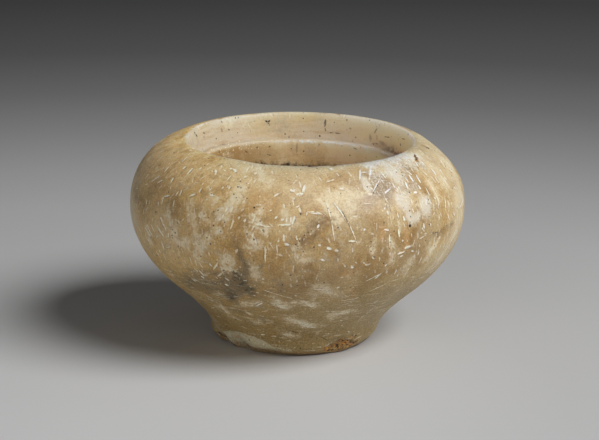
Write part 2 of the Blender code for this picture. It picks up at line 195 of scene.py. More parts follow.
# White bruises that the pointed tool left on the front.
FLECKS = [
    (210.3, 59, 210, 60.4, 0.35, 0.95), (205.9, 55.3, 209.8, 57.8, 0.27, 0.6),
    (218.6, 61, 218.6, 61.8, 0.4, 0.8), (223.3, 60.1, 223.1, 61.8, 0.27, 0.9),
    (228, 58.7, 227, 59.8, 0.27, 0.7), (226.6, 61.9, 226.8, 62.4, 0.3, 0.7),
    (217.7, 57.3, 217.4, 58.7, 0.37, 0.95), (219.2, 55.6, 218.9, 56.5, 0.24, 0.7),
    (223.4, 54.3, 223.5, 55.8, 0.27, 0.85), (225.2, 54.7, 224.8, 56.3, 0.3, 0.9),
    (217.4, 50.9, 217.5, 53.2, 0.27, 0.8), (217.5, 53.2, 220.4, 54.1, 0.27, 0.85),
    (229.4, 55.1, 231.5, 55.9, 0.3, 0.85), (233.1, 56.5, 233.4, 57.6, 0.27, 0.8),
    (235.7, 61.4, 234.4, 62.5, 0.4, 0.95), (227.9, 63.1, 228.3, 63.4, 0.27, 0.8),
    (235.9, 63.1, 235.1, 63.5, 0.32, 0.7), (240.1, 63, 241.2, 63.2, 0.46, 1),
    (242.8, 62.4, 243.7, 62.8, 0.48, 1), (232.3, 62.2, 233.9, 61.9, 0.27, 0.8),
    (232.6, 58.5, 233, 59.2, 0.27, 0.8), (236.8, 57.7, 237.3, 58.3, 0.3, 0.8),
    (237.6, 56.4, 239.6, 56.7, 0.3, 0.85), (241.4, 58.4, 241.8, 59, 0.35, 0.6),
    (244.1, 58.6, 244.4, 59.3, 0.37, 1), (243.1, 59, 243.4, 59.4, 0.3, 0.8),
    (247.1, 59.1, 247.6, 59.7, 0.32, 0.9), (244.4, 60.6, 244.9, 60.9, 0.27, 0.8),
    (248.2, 61.6, 249.2, 61.8, 0.4, 1), (250.8, 60.1, 251.3, 60.5, 0.32, 0.9),
    (247.2, 61, 247.3, 61.2, 0.27, 0.7), (237.6, 62.7, 239.2, 62.5, 0.27, 0.7),
    (200, 48.8, 199.8, 50.7, 0.27, 0.8), (194, 48, 194, 49.1, 0.24, 0.7),
    (207.8, 48.9, 207.7, 50.6, 0.32, 0.8), (209.9, 49.3, 210, 50.9, 0.32, 0.8),
    (206.4, 45.3, 206.8, 47.9, 0.27, 0.6), (194.4, 51, 197, 51.7, 0.27, 0.6),
    (192.2, 55.9, 190.5, 56.7, 0.27, 0.7), (199, 60.9, 198.5, 61.8, 0.27, 0.5),
    (199.1, 62.8, 197.1, 63.5, 0.24, 0.5), (204.2, 63.2, 202.9, 63.6, 0.24, 0.5),
    (204.7, 62.7, 205.1, 63, 0.24, 0.5), (206.7, 64.3, 209.6, 64.4, 0.3, 0.7),
    (217.9, 47.4, 219.7, 45.9, 0.32, 0.7), (219.7, 45.7, 221.3, 44.1, 0.32, 0.7),
    (209.1, 42.6, 213.4, 39.9, 0.3, 0.75), (211.9, 44, 214.5, 41.6, 0.3, 0.65),
    (216.1, 43.8, 219.8, 41.3, 0.35, 0.8), (207.1, 41.8, 210.4, 40.4, 0.32, 0.7),
    (200, 40.9, 203.7, 38.4, 0.27, 0.6), (206.7, 39.1, 209.1, 37.4, 0.3, 0.6),
    (194.4, 44, 194.9, 46.3, 0.24, 0.6), (243.3, 49.8, 244.2, 50.9, 0.35, 0.8),
    (247.7, 47.8, 248.9, 50.9, 0.3, 0.7), (250.6, 53.3, 251.7, 53.7, 0.37, 0.7),
    (252.3, 50.2, 252.7, 51.2, 0.35, 0.95), (255, 50, 255.9, 52.7, 0.35, 0.6),
    (255.5, 55.1, 257.5, 55.3, 0.24, 0.9), (256.2, 49.9, 258.5, 49.6, 0.35, 0.9),
    (255, 48, 255.7, 49.4, 0.32, 0.8), (255.4, 46, 255.6, 47.4, 0.3, 0.8),
    (259.7, 41.1, 259.8, 43.4, 0.35, 0.9), (261.6, 57.5, 263.4, 58.4, 0.4, 0.7),
    (265.6, 54.5, 265.3, 55.7, 0.35, 0.9), (260.8, 53.7, 261.3, 54.1, 0.27, 0.8),
    (262.4, 51.5, 263.4, 52.3, 0.32, 0.85), (264.6, 51.3, 265.7, 51.5, 0.35, 0.8),
    (266.5, 50.9, 266.6, 52, 0.35, 0.9), (264, 50, 266.5, 49.7, 0.32, 0.9),
    (266.5, 49.7, 268.8, 50.4, 0.32, 0.95), (268.8, 50.4, 269.1, 52.3, 0.32, 0.95),
    (268.5, 56.8, 269.1, 57.2, 0.32, 0.9), (269.9, 54.8, 270.7, 55.4, 0.35, 0.9),
    (265.8, 45, 265.6, 47.1, 0.4, 0.95), (263.6, 44.9, 264.2, 45.4, 0.35, 0.8),
    (266, 44, 267.3, 44.2, 0.4, 0.85), (269.9, 46.4, 269.7, 46.9, 0.32, 0.9),
    (267.3, 59.1, 269.5, 59.1, 0.54, 0.95), (269.9, 58.3, 270.8, 57.7, 0.46, 0.95),
    (249.3, 40.9, 250.4, 41.8, 0.46, 0.9), (240, 38.7, 239.6, 39.8, 0.37, 0.7),
    (251.8, 62.4, 252.7, 62.8, 0.54, 0.6), (245.1, 52.6, 245.7, 53.6, 0.35, 0.9),
    (244.8, 51.9, 244.4, 50.9, 0.3, 0.8), (268.3, 60.5, 269.9, 61.5, 0.27, 0.5),
    (237.2, 49.8, 237.6, 50.8, 0.27, 0.6), (236.2, 50, 235.5, 50.9, 0.24, 0.5),
    (231, 49.8, 231.9, 50.3, 0.3, 0.7), (228.8, 47.9, 229.6, 49, 0.27, 0.5),
    (221.1, 38.2, 222.7, 38.7, 0.27, 0.5), (264.6, 48.4, 263.9, 47.7, 0.27, 0.5),
    (191.4, 51.7, 189.4, 53.5, 0.24, 0.5), (197.2, 53, 196.5, 55, 0.24, 0.5),
    (198, 57.4, 197.3, 57.9, 0.24, 0.5), (202.6, 58.7, 203.7, 59.7, 0.24, 0.5),
    (201.2, 61.1, 200.8, 61.9, 0.21, 0.5), (182, 61, 179.8, 61.6, 0.21, 0.4),
    (204.9, 61.7, 204.3, 62.3, 0.21, 0.5), (223.9, 58.6, 220.9, 57.9, 0.21, 0.5),
    (229.3, 58.8, 231.1, 59, 0.24, 0.5), (207, 56.7, 208.8, 57.3, 0.27, 0.7),
    (208.5, 46.9, 209.2, 48.8, 0.24, 0.5), (212.8, 44.6, 213.9, 46.2, 0.24, 0.5),
    (216.8, 52, 217, 53, 0.32, 0.8), (267.5, 48.4, 267.8, 49.4, 0.3, 0.6), (260.8, 50.3, 262, 49.3, 0.3, 0.5),
    (273.1, 60.5, 272.5, 58.5, 0.37, 0.9), (270.7, 57.7, 272.4, 58.4, 0.43, 0.95),
    (269.6, 58.4, 270.9, 57.6, 0.4, 0.9), (267.4, 59.1, 269.2, 58.8, 0.48, 0.9),
    (286.5, 59, 287.9, 58.8, 0.35, 0.9), (281.6, 60.7, 285.4, 61.2, 0.27, 0.6),
    (287.1, 62.5, 287.8, 61.8, 0.24, 0.8), (284.8, 63.5, 286, 63.3, 0.65, 0.7),
    (336.5, 58.7, 336.3, 56.9, 0.35, 1), (329.7, 58.8, 330.1, 57.9, 0.27, 0.9),
    (342.7, 57.7, 341.6, 55.9, 0.27, 0.8), (351.4, 59, 348.8, 56.8, 0.4, 0.9),
    (351.5, 56, 352.6, 54.6, 0.3, 0.8), (320, 59.2, 320.1, 57.6, 0.37, 0.95),
    (323.5, 58.7, 323.3, 56.7, 0.3, 0.9), (315.7, 58.2, 315.1, 56.2, 0.4, 0.95),
    (321.1, 56.4, 321.3, 55.3, 0.4, 0.95), (316.8, 54.9, 318.9, 55, 0.43, 0.9),
    (326.6, 52.2, 327, 51.4, 0.35, 0.7), (333, 50.5, 331.5, 47.4, 0.3, 0.85),
    (344.7, 51.6, 345.7, 50.7, 0.32, 0.9), (352.5, 49.3, 351.2, 46.9, 0.3, 0.8),
    (351.7, 46.4, 345.1, 45.1, 0.35, 0.95), (341.9, 46.8, 343.8, 45, 0.32, 0.8),
    (332.4, 46.1, 333.4, 43.9, 0.3, 0.7), (336.7, 45.7, 338.7, 43.9, 0.32, 0.8),
    (317.5, 46, 317.7, 44.1, 0.37, 0.95), (316.6, 44.7, 317.7, 43.4, 0.32, 0.8),
    (308.6, 49.7, 308.8, 47.8, 0.35, 0.9), (313.4, 51.1, 313.5, 49.9, 0.35, 0.7),
    (302.3, 51.9, 302.7, 50.6, 0.43, 0.8), (301.9, 52.9, 301.2, 52.3, 0.32, 0.6),
    (300.2, 46.7, 302.1, 46.2, 0.3, 0.8), (308.5, 39.5, 312, 39.8, 0.3, 0.95),
    (305.8, 38.3, 308.9, 38.6, 0.32, 0.9), (306.8, 37.1, 308.2, 37.4, 0.37, 0.7),
    (311.7, 38.3, 313.2, 37.8, 0.32, 0.8), (314.8, 41.4, 319, 42.2, 0.27, 0.5),
    (287.3, 44.5, 289.9, 44.3, 0.32, 0.7), (288.4, 40.9, 288.5, 42.5, 0.32, 0.7),
    (279.6, 42.8, 281.3, 42.4, 0.43, 0.85), (282.3, 42.1, 283.7, 41.7, 0.54, 0.6),
    (276.9, 43.9, 277.9, 43.8, 0.43, 0.6), (277.6, 39.4, 279.2, 38.8, 0.3, 0.9),
    (298.4, 30.8, 300.8, 32.7, 0.32, 0.95), (301.3, 34.8, 301.8, 35.5, 0.3, 0.8),
    (293.3, 36.4, 294.7, 36.4, 0.43, 0.7), (288.3, 36.1, 289.3, 35.9, 0.46, 0.95),
    (308.4, 30.1, 308.9, 30.9, 0.27, 0.7), (273.8, 53.3, 278.4, 52.8, 0.27, 0.85),
    (271.3, 53.3, 270.4, 55.4, 0.35, 0.7), (268.5, 50.1, 269.3, 52.5, 0.35, 0.7),
    (268.9, 55.4, 268.3, 57.3, 0.32, 0.7), (277.3, 50, 276.7, 48.9, 0.37, 0.95),
    (269.6, 46.7, 270.1, 45.5, 0.3, 0.85), (271.8, 45.2, 272.4, 46, 0.27, 0.7),
    (325.9, 27.5, 328.6, 28.6, 0.32, 0.8), (330.5, 26.8, 333.2, 30.9, 0.32, 0.8),
    (333.2, 30.9, 333.1, 33.8, 0.32, 0.7), (336.7, 35.7, 344.1, 38.3, 0.32, 0.8),
    (339, 37.2, 342.7, 39.1, 0.3, 0.8), (303.6, 56.4, 306.5, 57.2, 0.32, 0.9),
    (308.7, 57, 310, 55.9, 0.27, 0.6), (306.9, 61.2, 307.7, 60, 0.32, 0.7), (337, 48.9, 336.9, 47, 0.3, 0.6),
    (327.6, 47.5, 327.9, 45.9, 0.3, 0.5), (349.6, 58.4, 349.2, 57.4, 0.32, 0.6),
    (348.6, 54, 349.3, 52.7, 0.3, 0.6), (347.4, 49.7, 346.8, 47.9, 0.27, 0.6),
    (324.3, 48.1, 322.9, 47.3, 0.32, 0.5), (314.1, 53.4, 314.1, 52.4, 0.32, 0.6),
    (317.7, 42.6, 319, 42.6, 0.3, 0.7), (321.2, 45.4, 321.4, 44.2, 0.3, 0.6),
    (292.6, 47.7, 293.1, 47.3, 0.43, 0.7), (295.2, 46.1, 296, 45.7, 0.35, 0.5),
    (307.3, 42.5, 307.8, 42, 0.37, 0.7), (268, 52.5, 267.9, 50.5, 0.32, 0.7),
    (270.1, 40.7, 270.3, 39.5, 0.32, 0.4), (294.1, 54.7, 298.2, 54.2, 0.21, 0.6),
    (291, 51.6, 289.2, 51.4, 0.32, 0.4), (295.7, 38.7, 296.7, 37.8, 0.32, 0.6),
    (303.5, 41.2, 304.6, 40.2, 0.32, 0.5), (321.1, 33.2, 321.4, 34.4, 0.27, 0.5),
    (265.7, 47.3, 265.9, 45.6, 0.4, 0.95), (265.7, 44.4, 267.5, 44, 0.4, 0.85),
    (269.8, 46.8, 270, 45.7, 0.35, 0.9), (259.6, 43.6, 259.5, 39, 0.3, 0.9),
    (250.2, 41.8, 249.6, 40.6, 0.46, 0.9), (240.5, 34.1, 243, 37, 0.35, 0.85),
    (228.4, 28.7, 229.5, 27.8, 0.4, 0.85), (233.9, 30.8, 235.1, 30, 0.4, 0.75),
    (241.4, 31.8, 243.5, 33.1, 0.35, 0.5), (243.2, 29.1, 244.6, 28.7, 0.35, 0.9),
    (251, 31.5, 252.5, 31.4, 0.32, 0.6), (257.9, 32.7, 258.8, 32.3, 0.3, 0.7),
    (254.8, 27.4, 255.7, 26.9, 0.27, 0.6), (257.3, 26.1, 258.6, 26.2, 0.27, 0.7),
    (252, 20.8, 256.4, 23.1, 0.27, 0.85), (252.2, 22.1, 256.2, 23.7, 0.24, 0.6),
    (253.3, 18.4, 257, 19.3, 0.27, 0.6), (263.1, 41.2, 265.3, 40.6, 0.4, 0.5),
    (246.6, 7.7, 249.7, 8, 0.32, 0.8), (292.2, 23.2, 295.1, 24.1, 0.24, 0.7),
    (285.7, 37.2, 286.4, 36.3, 0.27, 0.7), (288.2, 36.1, 288.9, 36.1, 0.54, 0.95),
    (293.9, 36, 295.5, 36.6, 0.37, 0.7), (284.4, 29, 285.5, 29.2, 0.32, 0.9), (304, 8, 306.4, 7.3, 0.32, 0.8),
    (293.1, 14, 295.4, 13.1, 0.3, 0.6), (296.2, 11.4, 297.9, 10.6, 0.3, 0.6),
    (277.7, 39.6, 279.1, 38.8, 0.27, 0.95), (276.9, 44.1, 277.8, 43.5, 0.37, 0.8),
    (279.6, 43.1, 281.1, 42.5, 0.4, 0.8), (288.4, 41.6, 288.6, 40.8, 0.32, 0.7),
    (292.3, 37.4, 293.4, 36.8, 0.27, 0.5), (289.6, 37.7, 290.4, 37.1, 0.27, 0.6),
    (269, 26.6, 270, 26.3, 0.27, 0.7), (253.2, 25.8, 254.2, 25.8, 0.27, 0.6),
    (252.7, 29.4, 253.6, 29, 0.27, 0.5), (308.2, 30.2, 308.5, 31.4, 0.32, 0.7),
    (263, 39.6, 263.5, 40.3, 0.27, 0.4), (250.6, 36.4, 250.9, 35.8, 0.3, 0.8),
    (256.6, 35.5, 257.3, 34.2, 0.27, 0.4), (246.3, 4.1, 247.3, 4, 0.35, 0.8),
    (225.2, 6.1, 229.4, 5.7, 0.35, 0.8), (313.7, 3.8, 321.8, 4.5, 0.27, 0.6),
    (284.8, 32.6, 286.2, 32.9, 0.27, 0.6),
]

# Broad, pale, streaky veils on the lower body.
VEILS = [
    (228, 29, 232, 28, 0.9, 0.55), (235, 31, 239, 33, 0.8, 0.45), (226, 24, 232, 21, 0.9, 0.5),
    (258.9, 23.6, 266.6, 20.5, 1.74, 0.55), (260.8, 24.9, 264, 22.4, 1.26, 0.5),
    (270, 25.1, 278.5, 21, 1.26, 0.45), (264.8, 16.3, 280.8, 11, 1.74, 0.6),
    (285.6, 16.7, 297.7, 17.9, 1.58, 0.55), (287.6, 17.8, 293.8, 18.4, 1.26, 0.5),
    (260.8, 8.2, 270, 8.4, 1.42, 0.6), (230.9, 19.6, 232.3, 13.5, 1.42, 0.65),
    (227.6, 20.6, 231.3, 20.2, 0.79, 0.5), (231.6, 13.7, 239.8, 12.8, 0.95, 0.4),
    (277.6, 29.5, 284.9, 26.4, 1.42, 0.45), (287.2, 24.8, 290.8, 25.3, 1.26, 0.4),
    (244.5, 18.2, 247.8, 16.1, 1.11, 0.6), (247.2, 13.3, 252.4, 12.7, 0.95, 0.6),
    (253.4, 14.8, 258.2, 14.1, 0.79, 0.5), (260.4, 12.3, 263.5, 12.1, 0.63, 0.6),
    (306.2, 11.3, 309.7, 18.5, 0.95, 0.3), (300.5, 20, 308.6, 20.4, 0.95, 0.3),
    (245.7, 22.1, 250.6, 20.1, 1.11, 0.5), (236.5, 26.3, 239.8, 24.1, 0.95, 0.45),
    (255.5, 3.4, 266.3, 2.5, 1.26, 0.3), (237.1, 6.5, 248.3, 4.4, 1.58, 0.25),
]

# Dark pits and specks: the angle and height of each, half its width and its strength.
PITS = [
    (310.9, 46.3, 0.62, 1), (283.6, 48.7, 0.3, 0.9), (296, 42.1, 0.21, 0.8), (295.8, 41.2, 0.19, 0.8),
    (322.8, 41.8, 0.32, 0.8), (320.8, 47.4, 0.3, 0.7), (346.2, 51.8, 0.3, 0.5), (333.8, 61.7, 0.24, 0.8),
    (333.4, 62.4, 0.2, 0.6), (332.5, 62.7, 0.18, 0.5), (288.1, 61.8, 0.24, 0.8), (302.8, 54.2, 0.3, 0.7),
    (273.6, 47.7, 0.32, 0.8), (272.4, 46.9, 0.3, 0.7), (270.8, 45.2, 0.32, 0.7), (269.5, 44.1, 0.3, 0.7),
    (274.7, 48.2, 0.27, 0.6), (355.2, 62.4, 0.27, 0.7), (354.3, 61.7, 0.27, 0.6), (321.4, 61.7, 0.24, 0.8),
    (322.1, 60.9, 0.21, 0.7), (322.6, 59.8, 0.21, 0.7), (323, 59.2, 0.21, 0.6), (329.4, 41.7, 0.3, 0.7),
    (335, 42.4, 0.27, 0.6), (342.2, 42.3, 0.27, 0.6), (331.3, 35.1, 0.24, 0.6), (330.3, 34.1, 0.21, 0.5),
    (302.1, 40.6, 0.24, 0.5), (346.9, 39.9, 0.24, 0.6), (255.2, 54.4, 0.38, 1), (247.4, 59.3, 0.35, 0.8),
    (248.1, 56.6, 0.3, 0.7), (238.2, 56.8, 0.24, 0.8), (239.2, 56.7, 0.24, 0.8), (245.5, 49.6, 0.27, 0.8),
    (258.8, 48.2, 0.3, 0.8), (239.3, 50.3, 0.24, 0.8), (237.5, 50.1, 0.21, 0.6), (236.2, 41.8, 0.24, 0.6),
    (231.8, 47.7, 0.24, 0.6), (227.9, 48.1, 0.24, 0.6), (208.8, 49.8, 0.3, 0.7), (212.9, 48.7, 0.21, 0.6),
    (214, 46.6, 0.21, 0.7), (243, 59.2, 0.24, 0.7), (246.3, 53.7, 0.21, 0.5), (199.3, 62.6, 0.24, 0.6),
    (197.7, 46.3, 0.32, 0.6), (195.3, 47.5, 0.27, 0.6), (201.1, 48.1, 0.27, 0.5), (246.6, 45.6, 0.24, 0.6),
    (244.1, 45, 0.24, 0.6), (266.7, 61.3, 0.3, 0.5), (249, 44.1, 0.3, 0.5), (250.5, 60.2, 0.21, 0.6),
    (213.8, 54.5, 0.27, 0.3), (210, 42.3, 0.21, 0.6), (264.9, 30.7, 0.35, 0.9), (248.3, 30, 0.32, 0.6),
    (248.7, 28.8, 0.35, 0.6), (243.4, 23.2, 0.32, 0.6), (252.4, 37.7, 0.24, 0.7), (272, 42, 0.27, 0.7),
    (271.1, 40.8, 0.21, 0.5), (269.8, 44.3, 0.27, 0.7), (271.8, 45.5, 0.32, 0.7), (299, 5.9, 0.24, 0.6),
    (281.9, 27.2, 0.21, 0.5), (199.8, 0.7, 0.32, 0.9), (261, 34.4, 0.21, 0.4), (248.2, 31.2, 0.27, 0.6),
    (251.6, 39.2, 0.27, 0.6),
]

# Thin dark cracks, painted shadows beside scratches, and painted shadow under the crumbled left edge of the
# foot.
DARK_LINES = [
    (199, 3.2, 201, 2.8, 0.35, 0.9), (203, 2.4, 205, 2, 0.4, 0.9), (208, 1.6, 212, 1.2, 0.35, 0.8),
    (213, 0.9, 217, 0.6, 0.45, 0.9), (321, 61.8, 322.5, 60, 0.17, 0.6), (322.5, 60, 324.5, 57.6, 0.17, 0.5),
    (198, 3.2, 203, 1.6, 0.32, 0.9), (203, 1.8, 209, 1.2, 0.35, 0.9), (209, 1.6, 214, 1, 0.4, 0.9),
    (285.4, 53.3, 287.2, 49.9, 0.25, 0.75), (287.2, 49.9, 287.7, 48.6, 0.22, 0.5),
    (322.4, 41.9, 326, 41.6, 0.3, 0.45), (334, 41.7, 338, 42.2, 0.22, 0.35),
    (265.4, 10.3, 271, 9.3, 0.25, 0.9), (264.2, 30.4, 265.6, 31.2, 0.25, 0.8),
    (284.2, 7.7, 293.6, 4.7, 0.22, 0.4), (260.8, 38.4, 262.1, 38.1, 0.19, 0.5),
    (249.7, 57.8, 251.5, 56.1, 0.22, 0.3), (355.9, 62.6, 353.9, 61.4, 0.25, 0.5),
]

# Dirt and dark marks inside the mouth, where angles are counted round the mouth's own middle.
MOUTH_MARKS = [
    (163.4, 63.8, 162, 62.8, 0.26, 1), (162, 62.8, 160.4, 61.6, 0.34, 1), (153.6, 62, 151.2, 61.5, 0.41, 0.6),
    (152.6, 61, 152.4, 60, 0.28, 0.4), (136.6, 63.8, 135.7, 63.2, 0.28, 0.5),
    (137.7, 61.8, 136.5, 60.3, 0.51, 0.3), (132.6, 60.9, 131.3, 60.4, 0.32, 0.6),
    (109, 62.1, 108, 61.2, 0.44, 0.8), (108, 61.2, 106.3, 62, 0.41, 0.8),
    (108.9, 61.5, 106.9, 60.9, 0.47, 0.6), (88.7, 62.3, 88.2, 62, 0.28, 0.95),
    (76.6, 62.1, 76.9, 59.3, 0.47, 0.6), (76.6, 59.3, 76.2, 58.2, 0.28, 0.6),
    (74.2, 57.9, 71.8, 57.9, 0.22, 0.7), (71, 57.9, 67.7, 57.9, 0.22, 0.7),
    (46.3, 61.8, 44.8, 61.2, 0.32, 0.8), (45.4, 61.4, 46.9, 59.4, 0.38, 0.45),
    (39.3, 59.2, 34.6, 59.5, 0.25, 0.6), (23.6, 58.9, 22.5, 58.3, 0.32, 0.8),
    (23.3, 60.6, 18.7, 60.9, 0.28, 0.5), (45.3, 59.3, 44.2, 57.4, 0.47, 0.3), (46.8, 56.1, 46, 56, 0.28, 0.8),
    (88.5, 58, 87.7, 57.9, 0.28, 0.7), (79.9, 56.8, 78.8, 56.6, 0.32, 0.9),
    (63.3, 59.7, 61.6, 59.6, 0.47, 0.3), (48, 56.2, 39.6, 56.7, 0.22, 0.5),
    (104.7, 63.6, 104.4, 63.4, 0.25, 0.5), (58.4, 54.1, 55.7, 53.7, 0.38, 0.5),
    (49.8, 59.1, 48.6, 56.5, 0.63, 0.25), (42.7, 57.5, 37.2, 56.7, 0.79, 0.25),
    (91.9, 54.8, 92.2, 51, 0.47, 0.25), (123.6, 53.3, 121, 52.2, 0.38, 0.4),
    (92.2, 50.7, 91.4, 50.4, 0.32, 0.6), (109.7, 51.1, 106.7, 50.7, 0.32, 0.5),
]

# The rusty, pitted spot at the right of the foot's front, and four brown crumbs higher up on the right.
RUST = [
    (290, 2.4, 296, 2, 0.9, 0.85), (296, 2.8, 304, 2.6, 1.1, 1), (303, 3.6, 309, 3.2, 1.3, 1),
    (308, 3, 317, 2.4, 1, 1), (311, 5.2, 314, 4.8, 0.6, 0.5), (336, 62.3, 333, 61.6, 0.55, 0.7),
    (356, 62.6, 354, 61.6, 0.45, 0.6), (323, 42, 324, 42.2, 0.35, 0.6), (329, 42.4, 330, 42.5, 0.3, 0.5),
]

# Broad zones where the whole stone is lighter or, below nought, darker. The lighter rows near 190 and from
# 334 to 350 degrees are painted light along the body's left and right edges.
TONES_AND_EDGE_LIGHT = [
    (245, 64, 290, 63, 6, 0.28), (262, 58, 272, 58, 7, 0.24), (350, 50, 335, 56, 8, 0.36),
    (246, 28, 250, 26, 9, -0.12), (298, 44, 290, 50, 9, -0.44), (310, 38, 302, 36, 7, -0.18),
    (283, 34, 270, 30, 9, -0.42), (272, 12, 284, 10, 7, -0.16), (190, 52, 195, 42, 8, 0.56),
    (205, 60, 225, 62, 8, 0.08), (215, 47, 225, 42, 7, 0.3), (345, 45, 334, 32, 7, 0.42),
    (308, 24, 312, 22, 7, 0.12), (324, 52, 314, 38, 7, -0.46), (307, 58, 300, 61, 4, -0.42),
    (297, 58, 289, 62, 5, -0.26), (308, 57.5, 303, 57, 2.6, -0.35), (232, 29, 240, 26, 7, -0.1),
    (266, 50, 272, 48, 6, 0.14), (203, 6, 214, 2, 4, 0.35), (238, 3, 262, 1.5, 3, 0.15),
]

# Places where the tool left few marks: the angle and height of each, how far it reaches and how bare it is.
BARE_PLACES = [
    (262, 57, 7, 0.85), (250, 36, 6, 0.8), (275, 38, 6, 0.7), (292, 45, 7, 0.8), (290, 55, 5, 0.7),
    (232, 62, 4, 0.5), (300, 33, 6, 0.6), (225, 54, 4, 0.5), (270, 62, 6, 0.5), (265, 29, 8, 0.7),
    (287, 30, 7, 0.7), (253, 47, 7, 0.6), (268, 50, 7, 0.7), (285, 60, 8, 0.6),
]

def merged_copy(node):
    """The node's solid as one skin of quads, its two flat ends turned into rings."""
    bm = bmesh.new()
    bm.from_mesh(node.data)
    bmesh.ops.remove_doubles(bm, verts=bm.verts, dist=WELD)
    bm.normal_update()
    flat = [face for face in bm.faces if abs(face.normal.z) > FLAT]
    caps = bmesh.ops.dissolve_faces(bm, faces=flat)["region"]
    bmesh.ops.join_triangles(
        bm,
        faces=[face for face in bm.faces if len(face.verts) == 3],
        angle_face_threshold=PAIRING_ANGLE,
        angle_shape_threshold=PAIRING_ANGLE,
    )
    for cap in caps:
        radius = cap.calc_perimeter() / math.tau
        for _ in range(CAP_RINGS):
            bmesh.ops.inset_region(bm, faces=[cap], thickness=CAP_INSET * radius, use_even_offset=False)
        bmesh.ops.poke(bm, faces=[cap])
    mesh = bpy.data.meshes.new("stone_skin")
    bm.to_mesh(mesh)
    bm.free()
    return mesh


def smoothed(name, mesh):
    """A new object whose mesh is subdivided smooth for good."""
    piece = bpy.data.objects.new(name, mesh)
    bpy.context.scene.collection.objects.link(piece)
    finish = piece.modifiers.new("smooth", "SUBSURF")
    finish.levels = SMOOTH_LEVELS
    finish.render_levels = SMOOTH_LEVELS
    view = bpy.context.evaluated_depsgraph_get()
    fine = bpy.data.meshes.new_from_object(piece.evaluated_get(view))
    piece.modifiers.clear()
    piece.data = fine
    fine.name = name
    return piece


def vertex_arrays(mesh):
    """The mesh's points in millimetres and its normals."""
    points = np.empty(len(mesh.vertices) * 3)
    mesh.vertices.foreach_get("co", points)
    normals = np.empty(len(mesh.vertices) * 3)
    mesh.vertices.foreach_get("normal", normals)
    return points.reshape(-1, 3) / MM, normals.reshape(-1, 3)


def heading(angle):
    """The level direction at an angle round the bowl."""
    turn = math.radians(angle)
    return Vector((math.cos(turn), math.sin(turn), 0))


class Surface:
    """Finds places on the bowl's skin, and its normals there, by angle and height."""

    def __init__(self, mesh):
        self.tree = BVHTree.FromPolygons(
            [vertex.co / MM for vertex in mesh.vertices],
            [tuple(face.vertices) for face in mesh.polygons],
        )

    def outside(self, angle, height):
        """On the outside, looking at the axis from far off."""
        outwards = heading(angle)
        return self.tree.ray_cast(outwards * RAY_START + UP * height, -outwards)[:2]

    def inside(self, angle, height):
        """On the mouth's wall, looking out from the mouth's middle."""
        return self.tree.ray_cast(Vector((MOUTH_MIDDLE, 0, height)), heading(angle))[:2]


def smooth_step(value):
    """0 to 1 with soft ends."""
    value = np.clip(value, 0, 1)
    return value * value * (3 - 2 * value)


def chance(points, size):
    """Cloudy noise at each point, about -1 to 1, whose clouds have a size in millimetres."""
    return np.array([noise.noise(Vector(point)) for point in points / size])


# Where the noise is read for a move in x, y and z. Blender's own vector noise changes from run to run.
MOVE_PLACES = ((310.0, 0.0, 0.0), (0.0, 570.0, 0.0), (0.0, 0.0, 830.0))


def shifted(points, size, reach):
    """The points, each moved by cloudy noise up to a reach."""
    return points + reach * np.stack([chance(points + place, size) for place in MOVE_PLACES], axis=1)


# A stroke reaches the points that face as it does and lie within a few half widths. All others are far.
FACING = 0.3
STROKE_REACH = 4
FAR_OFF = 99.0
TINY = 1e-6


def distances(points, normals, stroke, surface):
    """How far each point is from a stroke that lies on the outside, in half widths."""
    start, normal = surface.outside(stroke.angle, stroke.height)
    end, end_normal = surface.outside(stroke.end_angle, stroke.end_height)
    far = np.full(len(points), FAR_OFF)
    if start is None or end is None:
        return far
    middle, reach = (start + end) / 2, (end - start).length / 2 + STROKE_REACH * stroke.width
    facing = normals @ np.array(normal + end_normal) > FACING
    near = facing & (np.linalg.norm(points - np.array(middle), axis=1) < reach)
    start, run = np.array(start), np.array(end - start)
    share = np.clip(((points[near] - start) @ run) / max(run @ run, TINY), 0, 1)
    away = points[near] - (start + share[:, None] * run)
    away -= normals[near] * (away * normals[near]).sum(1)[:, None]
    far[near] = np.linalg.norm(away, axis=1) / stroke.width
    return far


def strengths_and_distances(points, normals, rows, surface):
    """For each stroke in a table, its strength and how far every point is from it."""
    for row in rows:
        stroke = Stroke(*row)
        yield stroke.strength, distances(points, normals, stroke, surface)


# How far the skin strays from the plain form: broad waves and small ripples, in millimetres.
WAVE_SIZE = 16.0
WAVE = 0.10
RIPPLE_SIZE = 4.5
RIPPLE = 0.045

# Edges of bites and of rust: the size and reach of their wandering, and where they end, in half widths.
BITE_WANDER = (1.5, 0.5)
BITE_END = 1.6
RUST_WANDER = (2.0, 0.7)
RUST_END = 1.5

# The rusty spot is crumbled: the crumbs' size, how deep they go, the share that is eaten, its swing.
CRUMBLE_SIZE = 0.9
CRUMBLE_DEPTH = 0.45
CRUMBLE_SHARE = 0.35
CRUMBLE_SWING = 1.6

# Points lower than this keep their height, so that the bowl stands flat, and none leaves the solid's box.
STANDING = 0.3
BOX_MARGIN = 0.01


